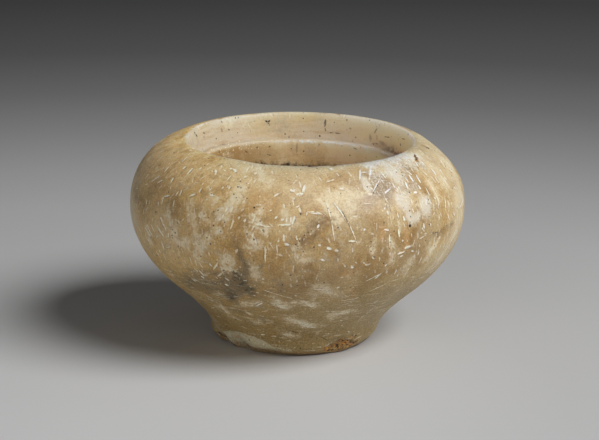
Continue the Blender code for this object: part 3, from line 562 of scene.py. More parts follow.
def reshape(mesh, surface, nicks):
    """Moves the skin: waves left by the carving, worn places, bites and the broken foot."""
    points, normals = vertex_arrays(mesh)
    rise = WAVE * chance(points, WAVE_SIZE) + RIPPLE * chance(points, RIPPLE_SIZE)
    for strength, away in strengths_and_distances(points, normals, SWELLINGS, surface):
        rise += strength * np.exp(-(away**2))
    rough = shifted(points, *BITE_WANDER)
    for strength, away in strengths_and_distances(rough, normals, BITES + nicks, surface):
        rise += strength * smooth_step(BITE_END - away)
    turns = np.degrees(np.arctan2(rough[:, 1], rough[:, 0])) % 360
    edge = np.interp(turns, *zip(*FLAKE_EDGE), left=NO_FLAKE, right=NO_FLAKE)
    on_foot = np.hypot(points[:, 0], points[:, 1]) > FLAKE_RADIUS
    flake = smooth_step((edge - rough[:, 2]) / FLAKE_STEP) * on_foot
    rise -= FLAKE_DEPTH * flake
    rust = rust_levels(points, normals, surface)
    crumbs = np.clip(CRUMBLE_SHARE + CRUMBLE_SWING * chance(points, CRUMBLE_SIZE), 0, 1)
    rise -= CRUMBLE_DEPTH * rust * crumbs
    moved = points + normals * rise[:, None]
    ground = points[:, 2] < STANDING
    moved[ground, 2] = points[ground, 2]
    low, high = (np.array(corner) / MM for corner in cad_box)
    moved = np.clip(moved, low + (BOX_MARGIN, BOX_MARGIN, 0), high - BOX_MARGIN)
    mesh.vertices.foreach_set("co", (moved * MM).ravel())
    mesh.update()
    store(mesh, "zones", inside_levels(points, normals), flake, rust)


def rust_levels(points, normals, surface):
    """How far into the rusty, pitted spot each point is."""
    level = np.zeros(len(points))
    ragged = shifted(points, *RUST_WANDER)
    for strength, away in strengths_and_distances(ragged, normals, RUST, surface):
        level = np.maximum(level, strength * smooth_step(RUST_END - away))
    return level


def inside_levels(points, normals):
    """1 on the mouth's wall, the ledge and the hollow, 0 outside."""
    plan = points[:, :2] - (MOUTH_MIDDLE, 0)
    radius = np.hypot(plan[:, 0], plan[:, 1])
    outwards = (normals[:, :2] * plan).sum(1) / np.maximum(radius, TINY)
    walled = (radius < WALL_RADIUS) & (points[:, 2] > WALL_FOOT)
    within = (outwards < INWARDS) | (radius < HOLLOW_CORE) | walled
    return (within & (points[:, 2] > HOLLOW_FLOOR)).astype(float)


# How fast a patch fades with the distance, and how the noise warps patches: its sizes and reaches.
PATCH_FADE = 2.5
PATCH_WARP = ((7.0, 1.6), (2.5, 0.6))


def patch_levels(points, normals, warped, patches, surface):
    """Each point's level, 0.5 on a patch's edge and 1 well inside it, and the strength of its patch."""
    level = np.zeros(len(points))
    strength = np.zeros(len(points))
    weight = np.full(len(points), TINY)
    for row in patches:
        stroke = Stroke(*row)
        source = points if stroke.strength > 1 else warped
        here = 1 / (1 + distances(source, normals, stroke, surface) ** PATCH_FADE)
        level = np.maximum(level, here)
        strength += stroke.strength * here**2
        weight += here**2
    return level, strength / weight


def tone_and_edge_light_levels(points, normals, warped, surface):
    """How much lighter or darker the stone is at each point, painted light along the body's edges included.
    """
    tone = np.zeros(len(points))
    for strength, away in strengths_and_distances(warped, normals, TONES_AND_EDGE_LIGHT, surface):
        tone += strength * np.exp(-(away**2))
    return tone


def store(mesh, name, *columns):
    """Keeps up to three numbers for each point as a named attribute."""
    data = np.zeros((len(mesh.vertices), 3), np.float32)
    for index, column in enumerate(columns):
        data[:, index] = column
    attribute = mesh.attributes.new(name, "FLOAT_VECTOR", "POINT")
    attribute.data.foreach_set("vector", data.ravel())


# The side that the photograph doesn't show, as angles, and the heights where its patches start and end.
HIDDEN_SIDE = (-12.0, 192.0)
HIDDEN_HEIGHTS = (22, 62)
HIDDEN_LOWEST = 4
HIDDEN_HIGHEST = 63

# The patches of each kind there: how many, and the ranges of their half widths and strengths.
HIDDEN_PALE = (64, (0.9, 2.4), (0.4, 1.0))
HIDDEN_DARK = (12, (1.2, 2.6), (0.3, 0.7))
HIDDEN_WARM = (8, (1.0, 2.2), (0.4, 0.8))
HIDDEN_COOL = (6, (1.6, 3.0), (0.4, 0.8))
HIDDEN_VEILS = (30, (0.8, 1.8), (0.3, 0.6))
VEIL_HEIGHTS = (8, 26)

# How long those patches are, how they lean, how far they go sideways and down, and degrees to a millimetre.
HIDDEN_LENGTH = (1.0, 7.0)
HIDDEN_LEAN = 0.5
HIDDEN_SIDEWAYS = 0.4
HIDDEN_DOWN = 0.8
TURN_PER_MM = 1.2


def hidden_patches(dice, count, widths, strengths, heights=HIDDEN_HEIGHTS, level=False):
    """Strokes strewn over the hidden side, mostly up and down, or level on the lower body."""
    rows = []
    for _ in range(count):
        angle, height = dice.uniform(*HIDDEN_SIDE), dice.uniform(*heights)
        length = dice.uniform(*HIDDEN_LENGTH)
        lean = dice.gauss(0, HIDDEN_LEAN)
        across, climb = (length, lean) if level else (length * HIDDEN_SIDEWAYS * lean, -length * HIDDEN_DOWN)
        end_height = min(max(height + climb, HIDDEN_LOWEST), HIDDEN_HIGHEST)
        width, strength = dice.uniform(*widths), dice.uniform(*strengths)
        rows.append((angle, height, angle + TURN_PER_MM * across, end_height, width, strength))
    return rows


# Nicks in the lip: how many, how far below it, and ranges of their spread in degrees, width and depth.
RIM_NICKS = 26
NICK_DROP = 0.25
NICK_SPREAD = (0.3, 1.6)
NICK_WIDTH = (0.35, 0.7)
NICK_DEPTH = (-0.35, -0.12)


def rim_nicks(dice):
    """Small nicks in the lip, all round it."""
    rows = []
    for _ in range(RIM_NICKS):
        angle, spread = dice.uniform(0, 360), dice.uniform(*NICK_SPREAD)
        slope = math.tan(MOUTH_SLOPE) * LIP_RADIUS * math.cos(math.radians(angle))
        height = LIP_HEIGHT - NICK_DROP - slope
        width, depth = dice.uniform(*NICK_WIDTH), dice.uniform(*NICK_DEPTH)
        rows.append((angle, height, angle + spread, height, width, depth))
    return rows


# Chance flecks: how far apart, how many tries, ranges of length, half width and tone, and how leans vary.
FLECK_GAP = 1.7
FLECK_TRIES = 8500
FLECK_LENGTH = (0.7, 2.9)
FLECK_WIDTH = (0.16, 0.36)
FLECK_TONE = (0.2, 1.0)
FLECK_LEAN = 15

# The share of tries that make a fleck: on the upper body, with clouds of a size and swing, and elsewhere.
UPPER_BODY = 31
UPPER_SHARE = 0.60
UPPER_SWING = 0.9
UPPER_CLOUDS = 9
LOWER_SHARE = 0.28
HOLLOW_SHARE = 0.03
HOLLOW_FACING = 1
UNDERSIDE = 1.0

# Below this height flecks run round the bowl, and are longer and of an even tone.
ROUND_BELOW = 30
ROUND_STRETCH = 1.3
ROUND_TONE = 0.5

# Elsewhere a fleck keeps at least this share of its tone, and more where flecks are thick.
BARE_TONE = 0.35

# Leans in degrees to the left of upright: round the bowl, at the left above and below, and elsewhere.
LEAN_ROUND = 90
LEFT_SIDE = (180, 245)
LEFT_HIGH = 53
LEAN_LEFT_HIGH = -28
LEAN_LEFT = 14
LEAN_FRONT = 4

# Chance pits: how far apart, how many tries, which share of them, and ranges of half width and tone.
PIT_GAP = 2.4
PIT_TRIES = 1500
PIT_SHARE = 0.35
PIT_WIDTH = (0.14, 0.34)
PIT_TONE = (0.25, 0.8)

# A mark shorter than this many half widths is a spot, and is drawn out by so many half widths up and down.
SPOT_LENGTH = 1.4
SPOT_REACH = 0.8

# Skin whose climb is less than this is level.
LEVEL_CLIMB = 1e-3


def rise_at(normal):
    """The direction that climbs the surface most steeply."""
    rise = UP - normal * normal.dot(UP)
    return rise.normalized() if rise.length > LEVEL_CLIMB else Vector((1, 0, 0))


def fleck_chance(place, normal):
    """How thickly the tool bruised the stone here, from 0 to 1."""
    radius = math.hypot(place.x - MOUTH_MIDDLE, place.y)
    if place.z < UNDERSIDE:
        return 0.0
    if radius < LIP_RADIUS and place.z > HOLLOW_FLOOR and normal.xy.dot(place.xy) < HOLLOW_FACING:
        return HOLLOW_SHARE
    thick = LOWER_SHARE
    if place.z > UPPER_BODY:
        thick = UPPER_SHARE + UPPER_SWING * noise.noise(place / UPPER_CLOUDS)
    for angle, height, reach, bareness in BARE_PLACES:
        middle = heading(angle) * place.xy.length + UP * height
        thick *= 1 - bareness * math.exp(-((place - middle).length / reach) ** 2)
    return thick


def lean_at(place):
    """How far the tool's strokes lean to the left of upright here, in degrees."""
    angle = math.degrees(math.atan2(place.y, place.x)) % 360
    if place.z < ROUND_BELOW:
        return LEAN_ROUND
    if LEFT_SIDE[0] < angle < LEFT_SIDE[1]:
        return LEAN_LEFT_HIGH if place.z > LEFT_HIGH else LEAN_LEFT
    return LEAN_FRONT


def scattered(mesh, dice, tries, gap, taken, likely):
    """Chance places on the skin that keep a gap between them and from those already taken."""
    faces = list(mesh.polygons)
    grid = {}

    def cell(place):
        return tuple(int(value // gap) for value in place)

    for place in taken:
        grid.setdefault(cell(place), []).append(place)
    for face in dice.choices(faces, weights=[face.area for face in faces], k=tries):
        place, normal = face.center / MM, face.normal.copy()
        if dice.random() > likely(place, normal):
            continue
        x, y, z = cell(place)
        around = [
            other
            for i in (x - 1, x, x + 1)
            for j in (y - 1, y, y + 1)
            for k in (z - 1, z, z + 1)
            for other in grid.get((i, j, k), ())
        ]
        if all((other - place).length > gap for other in around):
            grid.setdefault((x, y, z), []).append(place)
            yield place, normal


def random_flecks(mesh, dice, taken):
    """Short bruises of a pointed tool: up and down the belly and shoulder, round the lower body."""
    marks = []
    for place, normal in scattered(mesh, dice, FLECK_TRIES, FLECK_GAP, taken, fleck_chance):
        rise = rise_at(normal)
        side = normal.cross(rise)
        low = place.z < ROUND_BELOW
        turn = math.radians(lean_at(place) + dice.gauss(0, FLECK_LEAN))
        run = rise * math.cos(turn) + side * math.sin(turn)
        length = dice.uniform(*FLECK_LENGTH) * (ROUND_STRETCH if low else 1.0)
        fullness = ROUND_TONE if low else BARE_TONE + (1 - BARE_TONE) * min(fleck_chance(place, normal), 1)
        tone = dice.uniform(*FLECK_TONE) * fullness
        marks.append((place - run * length / 2, place + run * length / 2, dice.uniform(*FLECK_WIDTH), tone))
    return marks


def random_pits(mesh, dice, taken):
    """Small dark pits, thinly strewn over the whole outside."""
    marks = []
    for place, normal in scattered(mesh, dice, PIT_TRIES, PIT_GAP, taken, lambda place, normal: PIT_SHARE):
        width = dice.uniform(*PIT_WIDTH)
        run = rise_at(normal) * width * SPOT_REACH
        marks.append((place - run, place + run, width, dice.uniform(*PIT_TONE)))
    return marks


def placed_marks(place, rows):
    """Marks from a table of strokes, laid on the outside or the inside."""
    marks = []
    for row in rows:
        stroke = Stroke(*row)
        start, normal = place(stroke.angle, stroke.height)
        end, _ = place(stroke.end_angle, stroke.end_height)
        if (end - start).length < SPOT_LENGTH * stroke.width:
            stretch = rise_at(normal) * stroke.width * SPOT_REACH
            start, end = start - stretch, end + stretch
        marks.append((start, end, stroke.width, stroke.strength))
    return marks


def placed_spots(place, rows):
    """Marks from a table of spots, each with an angle, a height, half its width and its strength."""
    return placed_marks(place, [(*row[:2], *row) for row in rows])


def middles(marks):
    """The places halfway along each mark."""
    return [(start + end) / 2 for start, end, *_ in marks]


# Marks are cut into parts about so long, looked for at samples so close, and drawn within such a reach.
PART_LENGTH = 4
MARK_SAMPLE = 0.5
MARK_REACH = 1.6
VEIL_REACH = 3.0

# What a corner's place along and across is where no mark is near.
UNMARKED = 9.0


def mark_parts(surface, marks):
    """The marks, cut into short straight parts that lie on the skin.

    A part has a middle, directions along and across, half its length, how far its middle is from the
    mark's own, half the mark's length, half its width and its tone.
    """
    parts = []
    for start, end, width, tone in marks:
        run = end - start
        pieces = max(1, round(run.length / PART_LENGTH))
        ends = [surface.tree.find_nearest(start + run * step / pieces)[0] for step in range(pieces + 1)]
        total = sum((b - a).length for a, b in zip(ends, ends[1:]))
        gone = 0.0
        for a, b in zip(ends, ends[1:]):
            middle, normal, _, _ = surface.tree.find_nearest((a + b) / 2)
            along = (b - a).normalized()
            across = normal.cross(along).normalized()
            half = (b - a).length / 2
            parts.append((middle, along, across, half, gone + half - total / 2, total / 2, width, tone))
            gone += 2 * half
    return parts


def nearest_parts(mesh, parts, reach):
    """The part that is nearest to each face, or -1 where none is within reach."""
    samples = []
    for index, (middle, along, _, half, *_) in enumerate(parts):
        count = max(1, math.ceil(2 * half / MARK_SAMPLE))
        for step in range(count + 1):
            samples.append((middle + along * half * (2 * step / count - 1), index))
    tree = KDTree(len(samples))
    for index, (place, _) in enumerate(samples):
        tree.insert(place, index)
    tree.balance()
    nearest = np.full(len(mesh.polygons), -1)
    for face in mesh.polygons:
        _, index, gap = tree.find(face.center / MM)
        if gap < reach:
            nearest[face.index] = samples[index][1]
    return nearest


def lay_marks(surface, mesh, name, marks, reach=MARK_REACH):
    """Gives each face corner its place along and across the nearest mark, and that mark's tone.

    Along runs from -1 to 1 over the mark's length and across from -1 to 1 over its width.
    """
    parts = mark_parts(surface, marks)
    corners = len(mesh.loops)
    vertex = np.empty(corners, np.int32)
    mesh.loops.foreach_get("vertex_index", vertex)
    sides = np.empty(len(mesh.polygons), np.int32)
    mesh.polygons.foreach_get("loop_total", sides)
    part_of = np.repeat(nearest_parts(mesh, parts, reach), sides)
    marked = part_of >= 0
    part_of = part_of[marked]
    columns = (np.array(column)[part_of] for column in zip(*parts))
    middle, along, across, _, offset, half, width, tone = columns
    points, _ = vertex_arrays(mesh)
    away = points[vertex[marked]] - middle
    data = np.zeros((corners, 3), np.float32)
    data[:, :2] = UNMARKED
    data[marked, 0] = ((away * along).sum(1) + offset) / half
    data[marked, 1] = (away * across).sum(1) / width
    data[marked, 2] = tone
    attribute = mesh.attributes.new(name, "FLOAT_VECTOR", "CORNER")
    attribute.data.foreach_set("vector", data.ravel())


def put(tree, kind, inputs=(), **settings):
    """Adds a node, sets it up, and gives its inputs their values or the sockets that feed them."""
    node = tree.nodes.new(kind)
    for name, value in settings.items():
        setattr(node, name, value)
    for key, value in inputs.items() if isinstance(inputs, dict) else enumerate(inputs):
        if isinstance(value, bpy.types.NodeSocket):
            tree.links.new(value, node.inputs[key])
        elif value is not None:
            node.inputs[key].default_value = value
    return node


def tree_of(*values):
    """The node tree that the first socket among the values belongs to."""
    return next(value.id_data for value in values if isinstance(value, bpy.types.NodeSocket))


def calc(operation, *values, clamp=False):
    """One step of arithmetic on numbers and sockets."""
    return put(tree_of(*values), "ShaderNodeMath", values, operation=operation, use_clamp=clamp).outputs[0]


def plus(value, other):
    return calc("ADD", value, other)


def minus(value, other):
    return calc("SUBTRACT", value, other)


def times(*values):
    """The product of several numbers."""
    product = values[0]
    for value in values[1:]:
        product = calc("MULTIPLY", product, value)
    return product


def hypotenuse(across, along):
    """The length of the longest side of a right triangle."""
    return calc("SQRT", plus(times(across, across), times(along, along)))


def centred(value, size):
    """Noise turned about its middle, so that it adds as often as it takes away."""
    return times(minus(value, 0.5), size)


def ramp(value, low, high, to_low=0.0, to_high=1.0, kind="SMOOTHSTEP"):
    """Maps a value from one range to another, held at both ends."""
    inputs = (value, low, high, to_low, to_high)
    return put(tree_of(value), "ShaderNodeMapRange", inputs, interpolation_type=kind).outputs[0]


def blend(share, under, over, kind="MIX"):
    """Lays one colour over another."""
    inputs = {0: share, 6: under, 7: over}
    return put(tree_of(share), "ShaderNodeMix", inputs, data_type="RGBA", blend_type=kind).outputs[2]


def read(tree, name):
    """A named attribute's three numbers."""
    found = put(tree, "ShaderNodeAttribute", attribute_name=name).outputs["Vector"]
    return put(tree, "ShaderNodeSeparateXYZ", (found,)).outputs


def stretched(place, *scale):
    """A place with each of its three sizes multiplied."""
    return put(tree_of(place), "ShaderNodeMapping", {"Vector": place, "Scale": scale}).outputs[0]


def grain(place, scale, detail=3.0, rough=0.5, warp=0.0):
    """Cloudy noise from about 0.2 to 0.8."""
    inputs = {"Vector": place, "Scale": scale, "Detail": detail, "Roughness": rough, "Distortion": warp}
    return put(tree_of(place), "ShaderNodeTexNoise", inputs).outputs[0]


def new_group(name, inputs, outputs):
    """A node group with named inputs and their usual values, and named outputs."""
    group = bpy.data.node_groups.new(name, "ShaderNodeTree")
    for label, value in inputs.items():
        kind = "NodeSocketVector" if value is None else "NodeSocketFloat"
        socket = group.interface.new_socket(label, in_out="INPUT", socket_type=kind)
        if value is not None:
            socket.default_value = value
    for label in outputs:
        group.interface.new_socket(label, in_out="OUTPUT", socket_type="NodeSocketFloat")
    return group, group.nodes.new("NodeGroupInput").outputs, group.nodes.new("NodeGroupOutput").inputs


def use(group, **inputs):
    """Places a group in a material with its own values, and gives its outputs."""
    return put(tree_of(*inputs.values()), "ShaderNodeGroup", inputs, node_tree=group).outputs


def specks_group():
    """Small round specks, a share of the cells of a grid of chance points."""
    inputs = {"Place": None, "Scale": 600.0, "Size": 0.25, "Share": 0.3}
    group, given, made = new_group("specks", inputs, ["Mask"])
    cells = put(group, "ShaderNodeTexVoronoi", {"Vector": given["Place"], "Scale": given["Scale"]})
    luck = put(group, "ShaderNodeSeparateColor", (cells.outputs["Color"],)).outputs
    size = times(given["Size"], ramp(luck[1], 0.0, 1.0, 0.5, 1.2, "LINEAR"))
    dot = calc("SUBTRACT", 1.0, calc("DIVIDE", cells.outputs["Distance"], size), clamp=True)
    chosen = calc("LESS_THAN", luck[0], given["Share"])
    group.links.new(times(ramp(dot, 0.0, 0.6), chosen), made["Mask"])
    return group


def strokes_group():
    """The shape of a tapered stroke from its own along and across places, with a ragged edge."""
    inputs = {"Along": UNMARKED, "Across": UNMARKED, "Ragged": 0.5, "Fray": 1.1, "Soft": 0.5}
    group, given, made = new_group("strokes", inputs, ["Mask"])
    squared = calc("POWER", calc("ABSOLUTE", given["Along"]), 2.0)
    width = calc("SQRT", calc("SUBTRACT", 1.0, squared, clamp=True))
    edge = minus(width, calc("ABSOLUTE", given["Across"]))
    fray = times(minus(given["Ragged"], 0.5), given["Fray"])
    group.links.new(ramp(plus(edge, fray), 0.0, given["Soft"]), made["Mask"])
    return group


def mouth_group():
    """How near a place is to the corner above the ledge, to the ledge's nose and to the lip, from 0 to 1."""
    rings = {"Corner": LEDGE_CORNER, "Nose": LEDGE_NOSE, "Lip": (LIP_RADIUS, LIP_HEIGHT)}
    group, given, made = new_group("mouth", {"Place": None, "Reach": 1.0 * MM}, [*rings, "Level"])
    x, y, z = put(group, "ShaderNodeSeparateXYZ", (given["Place"],)).outputs
    x = minus(x, MOUTH_MIDDLE * MM)
    radius = hypotenuse(x, y)
    level = plus(z, times(x, math.tan(MOUTH_SLOPE)))
    for name, (ring, height) in rings.items():
        away = hypotenuse(minus(radius, ring * MM), minus(level, height * MM))
        near = calc("SUBTRACT", 1.0, calc("DIVIDE", away, given["Reach"]), clamp=True)
        group.links.new(near, made[name])
    group.links.new(level, made["Level"])
    return group


# The stone's colours, as linear red, green, blue and full cover.
HONEY = (0.53, 0.352, 0.140, 1.0)
DEEP = (0.39, 0.240, 0.085, 1.0)
SAND = (0.67, 0.530, 0.300, 1.0)
OLIVE = (0.315, 0.228, 0.085, 1.0)
GILT = (0.73, 0.460, 0.140, 1.0)
CREAM = (0.84, 0.740, 0.545, 1.0)
BLUSH = (0.68, 0.570, 0.420, 1.0)
# The next colour is the hollow's gold, partly painted light against the hollow's shade.
GOLD = (0.79, 0.635, 0.375, 1.0)
# The next colour serves smoky stains and painted shade in the corner above the ledge.
SMOKE_AND_SHADE = (0.115, 0.100, 0.070, 1.0)
UMBER = (0.22, 0.130, 0.050, 1.0)
SOOT = (0.065, 0.048, 0.020, 1.0)
MILK = (0.71, 0.645, 0.535, 1.0)
TAWNY = (0.38, 0.200, 0.060, 1.0)
RUSTY = (0.85, 0.360, 0.050, 1.0)
ORANGE = (0.60, 0.370, 0.160, 1.0)
ASH = (0.42, 0.400, 0.340, 1.0)
DRAB = (0.42, 0.335, 0.235, 1.0)
# The next colour is a painted glow on the right of the mouth's inside, which lies in shade.
PAINTED_GLOW = (0.94, 0.830, 0.680, 1.0)
# The next colour serves chalky dust, bluish scratches and the painted highlight on the ledge's nose.
CHALK_AND_HIGHLIGHT = (0.86, 0.870, 0.850, 1.0)
BRUISE = (0.98, 0.920, 0.750, 1.0)
# The next colour serves dirt, pits and painted shadows.
DIRT_AND_SHADOW = (0.035, 0.022, 0.012, 1.0)
# The next colour is painted light on the mouth's wall below the ledge.
PAINTED_WALL_LIGHT = (0.86, 0.745, 0.550, 1.0)
FROST = (0.80, 0.755, 0.620, 1.0)
DUST = (0.80, 0.745, 0.660, 1.0)
SHADE = (0.22, 0.170, 0.100, 1.0)
LIGHT = (0.92, 0.870, 0.760, 1.0)
BROKEN = (0.80, 0.700, 0.480, 1.0)


class Stone:
    """The stone's colours, laid one over another, and the noise and masks that place them."""

    def __init__(self, tree):
        self.tree = tree
        self.place = put(tree, "ShaderNodeTexCoord").outputs["Object"]
        self.x, self.y, self.z = put(tree, "ShaderNodeSeparateXYZ", (self.place,)).outputs
        self.inside, self.flake, self.rust = read(tree, "zones")
        self.outside = minus(1.0, self.inside)
        self.strokes, self.specks = strokes_group(), specks_group()
        self.mouth = use(mouth_group(), Place=self.place, Reach=1.0 * MM)
        self.level = self.mouth["Level"]
        # Clouds in the stone, from a finger's breadth of colour down to grains.
        self.clouds = grain(self.place, 45, 4, 0.55, 0.6)
        self.mottle = grain(self.place, 160, 4, 0.6, 0.4)
        self.curds = grain(self.place, 290, 6, 0.68, 0.3)
        self.fine = grain(self.place, 700, 3, 0.6)
        self.ragged = grain(self.place, 1700, 3, 0.65)
        self.dust = grain(self.place, 2400, 2, 0.6)
        self.broken = plus(centred(self.curds, 3.0), centred(self.fine, 1.2))
        self.colour = HONEY

    def lay(self, share, colour, kind="MIX"):
        """Lays a colour over all those so far."""
        self.colour = blend(share, self.colour, colour, kind)

    def stroke(self, along, across, ragged, fray, soft):
        """A mask of strokes with frayed edges."""
        return use(self.strokes, Along=along, Across=across, Ragged=ragged, Fray=fray, Soft=soft)["Mask"]

    def speck(self, scale, size, share):
        """A mask of round specks."""
        return use(self.specks, Place=self.place, Scale=scale, Size=size, Share=share)["Mask"]

    def patch(self, name, low_edge, high_edge, share, firm=0.7):
        """The mask and the strength of one kind of patch, whose edges are broken up by curds."""
        level, strength, _ = read(self.tree, name)
        loose = ramp(strength, 1.00, 1.15, 1.0, firm)
        shape = ramp(plus(level, times(self.broken, loose)), low_edge, high_edge)
        return times(shape, strength, share), strength

    def ground(self):
        """Honey and sand, darker and greener on the lower body, golden at the left, in broad zones, with
        painted light along the left and right edges.
        """
        drift = plus(times(self.clouds, 0.6), times(self.mottle, 0.4))
        self.lay(ramp(drift, 0.42, 0.58), SAND)
        self.lay(ramp(self.curds, 0.47, 0.62, 0.0, 0.50), SAND)
        self.lay(ramp(self.mottle, 0.50, 0.34, 0.0, 0.60), DEEP)
        milky = times(ramp(self.curds, 0.52, 0.59), ramp(self.clouds, 0.44, 0.58))
        self.lay(times(milky, ramp(self.x, 0.010, 0.030, 0.56, 0.30)), CREAM)
        low = plus(self.z, centred(self.clouds, 0.02))
        self.lay(ramp(low, 0.050, 0.060, 0.0, 0.35), BLUSH)
        self.lay(ramp(low, 0.054, 0.038, 0.0, 0.38), HONEY)
        self.lay(ramp(low, 0.040, 0.018, 0.0, 0.85), OLIVE)
        self.lay(times(ramp(self.x, 0.006, -0.036, 0.0, 0.56), ramp(self.z, 0.014, 0.034, 0.35, 1.0)), GILT)
        self.lay(times(ramp(self.curds, 0.50, 0.38), ramp(self.x, 0.010, -0.020), 0.56), DEEP)
        # Broad tones, among them painted light along the body's left and right edges.
        tone = plus(read(self.tree, "tone")[0], centred(self.clouds, 0.25))
        self.lay(ramp(tone, 0.0, 1.0, kind="LINEAR"), CREAM)
        self.lay(ramp(tone, 0.0, -1.0, kind="LINEAR"), UMBER)

    def lining(self):
        """The mouth's bevel is paler and the hollow a lighter gold, partly painted light against its shade;
        painted light falls on the upper wall, a painted glow on the right, and streaks run round them.
        """
        turned = grain(stretched(self.place, 1.0, 1.0, 7.0), 110, 4, 0.6, 0.3)
        wall = ramp(self.level, 0.0560, 0.0545)
        # Painted light on the upper wall below the ledge, fading downwards and towards the left.
        painted_light = times(wall, ramp(self.level, 0.0480, 0.0545), ramp(self.x, -0.022, 0.010, 0.10, 1.0))
        lining = blend(ramp(self.level, 0.0545, 0.0560), GOLD, BLUSH)
        for share, colour in (
            (ramp(turned, 0.42, 0.70, 0.0, 0.45), HONEY),
            (ramp(self.clouds, 0.46, 0.62, 0.0, 0.6), SAND),
            (ramp(self.mottle, 0.46, 0.32, 0.0, 0.35), ASH),
            (times(wall, ramp(self.x, 0.000, -0.022, 0.10, 0.95)), DEEP),
            (times(wall, ramp(self.mottle, 0.50, 0.66), 0.4), CREAM),
            (times(painted_light, 0.9), PAINTED_WALL_LIGHT),
            # Painted glow on the right of the bevel and the wall, which lie in shade.
            (ramp(self.x, 0.004, 0.034, 0.0, 0.90), PAINTED_GLOW),
            (times(wall, ramp(self.mottle, 0.56, 0.40), 0.25), HONEY),
            # More painted glow on the right of the wall.
            (times(wall, ramp(self.x, 0.008, 0.026, 0.0, 0.6)), LIGHT),
        ):
            lining = blend(share, lining, colour)
        self.lay(self.inside, lining)

    def patches(self):
        """Cool, warm, cream and smoky patches."""
        self.cool, _ = self.patch("cool", 0.20, 1.00, 0.90)
        ashen = blend(ramp(self.z, 0.046, 0.052), ASH, DRAB)
        self.lay(self.cool, blend(ramp(self.z, 0.0595, 0.0625), ashen, DUST))
        self.lay(self.patch("warm", 0.20, 1.10, 0.75)[0], ORANGE)
        near = plus(read(self.tree, "pale")[0], centred(self.mottle, 0.3))
        self.lay(times(ramp(near, 0.05, 0.60, 0.0, 0.14), ramp(self.x, -0.020, 0.002, 0.5, 1.0)), CREAM)
        pale, whiteness = self.patch("pale", 0.20, 0.98, 0.98, 0.22)
        uneven = ramp(self.fine, 0.36, 0.56, 0.35, 1.0)
        self.pale = times(pale, ramp(whiteness, 1.0, 1.15, uneven, 0.92))
        self.lay(self.pale, blend(ramp(whiteness, 0.95, 1.15), CREAM, MILK))
        dark, depth = self.patch("dark", -0.10, 0.95, 1.0)
        dark = times(dark, ramp(self.fine, 0.36, 0.58, 1.15, 0.75), ramp(self.pale, 0.1, 0.7, 1.0, 0.3))
        stain = blend(ramp(self.z, 0.038, 0.046), SMOKE_AND_SHADE, UMBER)
        self.lay(dark, blend(ramp(depth, 0.80, 1.00), stain, SOOT))

    def broken_foot(self):
        """The flake's scar is pale, with a painted highlight along its brink."""
        self.lay(times(self.flake, 0.80), BROKEN)
        # A painted highlight along the scar's upper edge.
        brink = times(self.flake, minus(1.0, self.flake), 3.0)
        self.lay(times(brink, ramp(self.fine, 0.35, 0.60)), FROST)

    def fine_lines(self):
        """Hairlines run up and down the shoulder and belly, and round the lower body."""
        radius = hypotenuse(self.x, self.y)
        turned = [times(calc("DIVIDE", side, radius), 0.05) for side in (self.x, self.y)]
        upright = put(self.tree, "ShaderNodeCombineXYZ", (*turned, times(self.z, 0.14))).outputs[0]
        steep = ramp(grain(upright, 1000, 3, 0.6, 0.2), 0.56, 0.72)
        steep = times(steep, ramp(self.z, 0.030, 0.040), ramp(self.mottle, 0.40, 0.60))
        level = ramp(grain(stretched(self.place, 0.22, 0.22, 2.2), 650, 3, 0.6, 0.2), 0.55, 0.72)
        level = times(level, ramp(self.z, 0.036, 0.026, 0.0, 1.5), ramp(self.mottle, 0.38, 0.56))
        self.hairlines = times(plus(steep, level), self.outside, ramp(self.x, 0.020, 0.040, 0.30, 0.60))
        self.lay(self.hairlines, BRUISE)

    def veils(self):
        """Broad pale strokes with streaks along them."""
        along, across, tone = read(self.tree, "veils")
        lane = put(self.tree, "ShaderNodeCombineXYZ", (along, times(across, 5.0), tone)).outputs[0]
        streaks = ramp(grain(lane, 1.7, 5, 0.7), 0.42, 0.62)
        powder = ramp(self.ragged, 0.36, 0.58, 0.45, 1.0)
        veil = self.stroke(along, across, self.curds, 3.6, 1.1)
        self.lay(times(veil, streaks, powder, tone, 3.4), FROST)

    def bruises(self):
        """White flecks and scratches, each with a dark shadow along one side."""
        grazed = blend(ramp(self.x, -0.016, 0.006, 0.0, 0.6), BRUISE, CHALK_AND_HIGHLIGHT)
        scraped = blend(times(ramp(self.x, 0.006, 0.014), ramp(self.z, 0.052, 0.055)), BRUISE, CHALK_AND_HIGHLIGHT)
        self.bruised = 0.0
        for name, fray, soft, white in (("flecks", 1.7, 0.35, grazed), ("scratches", 1.5, 0.5, scraped)):
            along, across, strength = read(self.tree, name)
            shape = self.stroke(along, across, self.ragged, fray, soft)
            mark = times(shape, strength, ramp(self.fine, 0.36, 0.56, 0.60, 1.15))
            shadow = self.stroke(along, plus(across, 1.4), self.ragged, 3.0, 0.8)
            self.lay(times(shadow, strength, 0.42), UMBER)
            self.lay(mark, white)
            self.bruised = calc("MAXIMUM", self.bruised, mark)

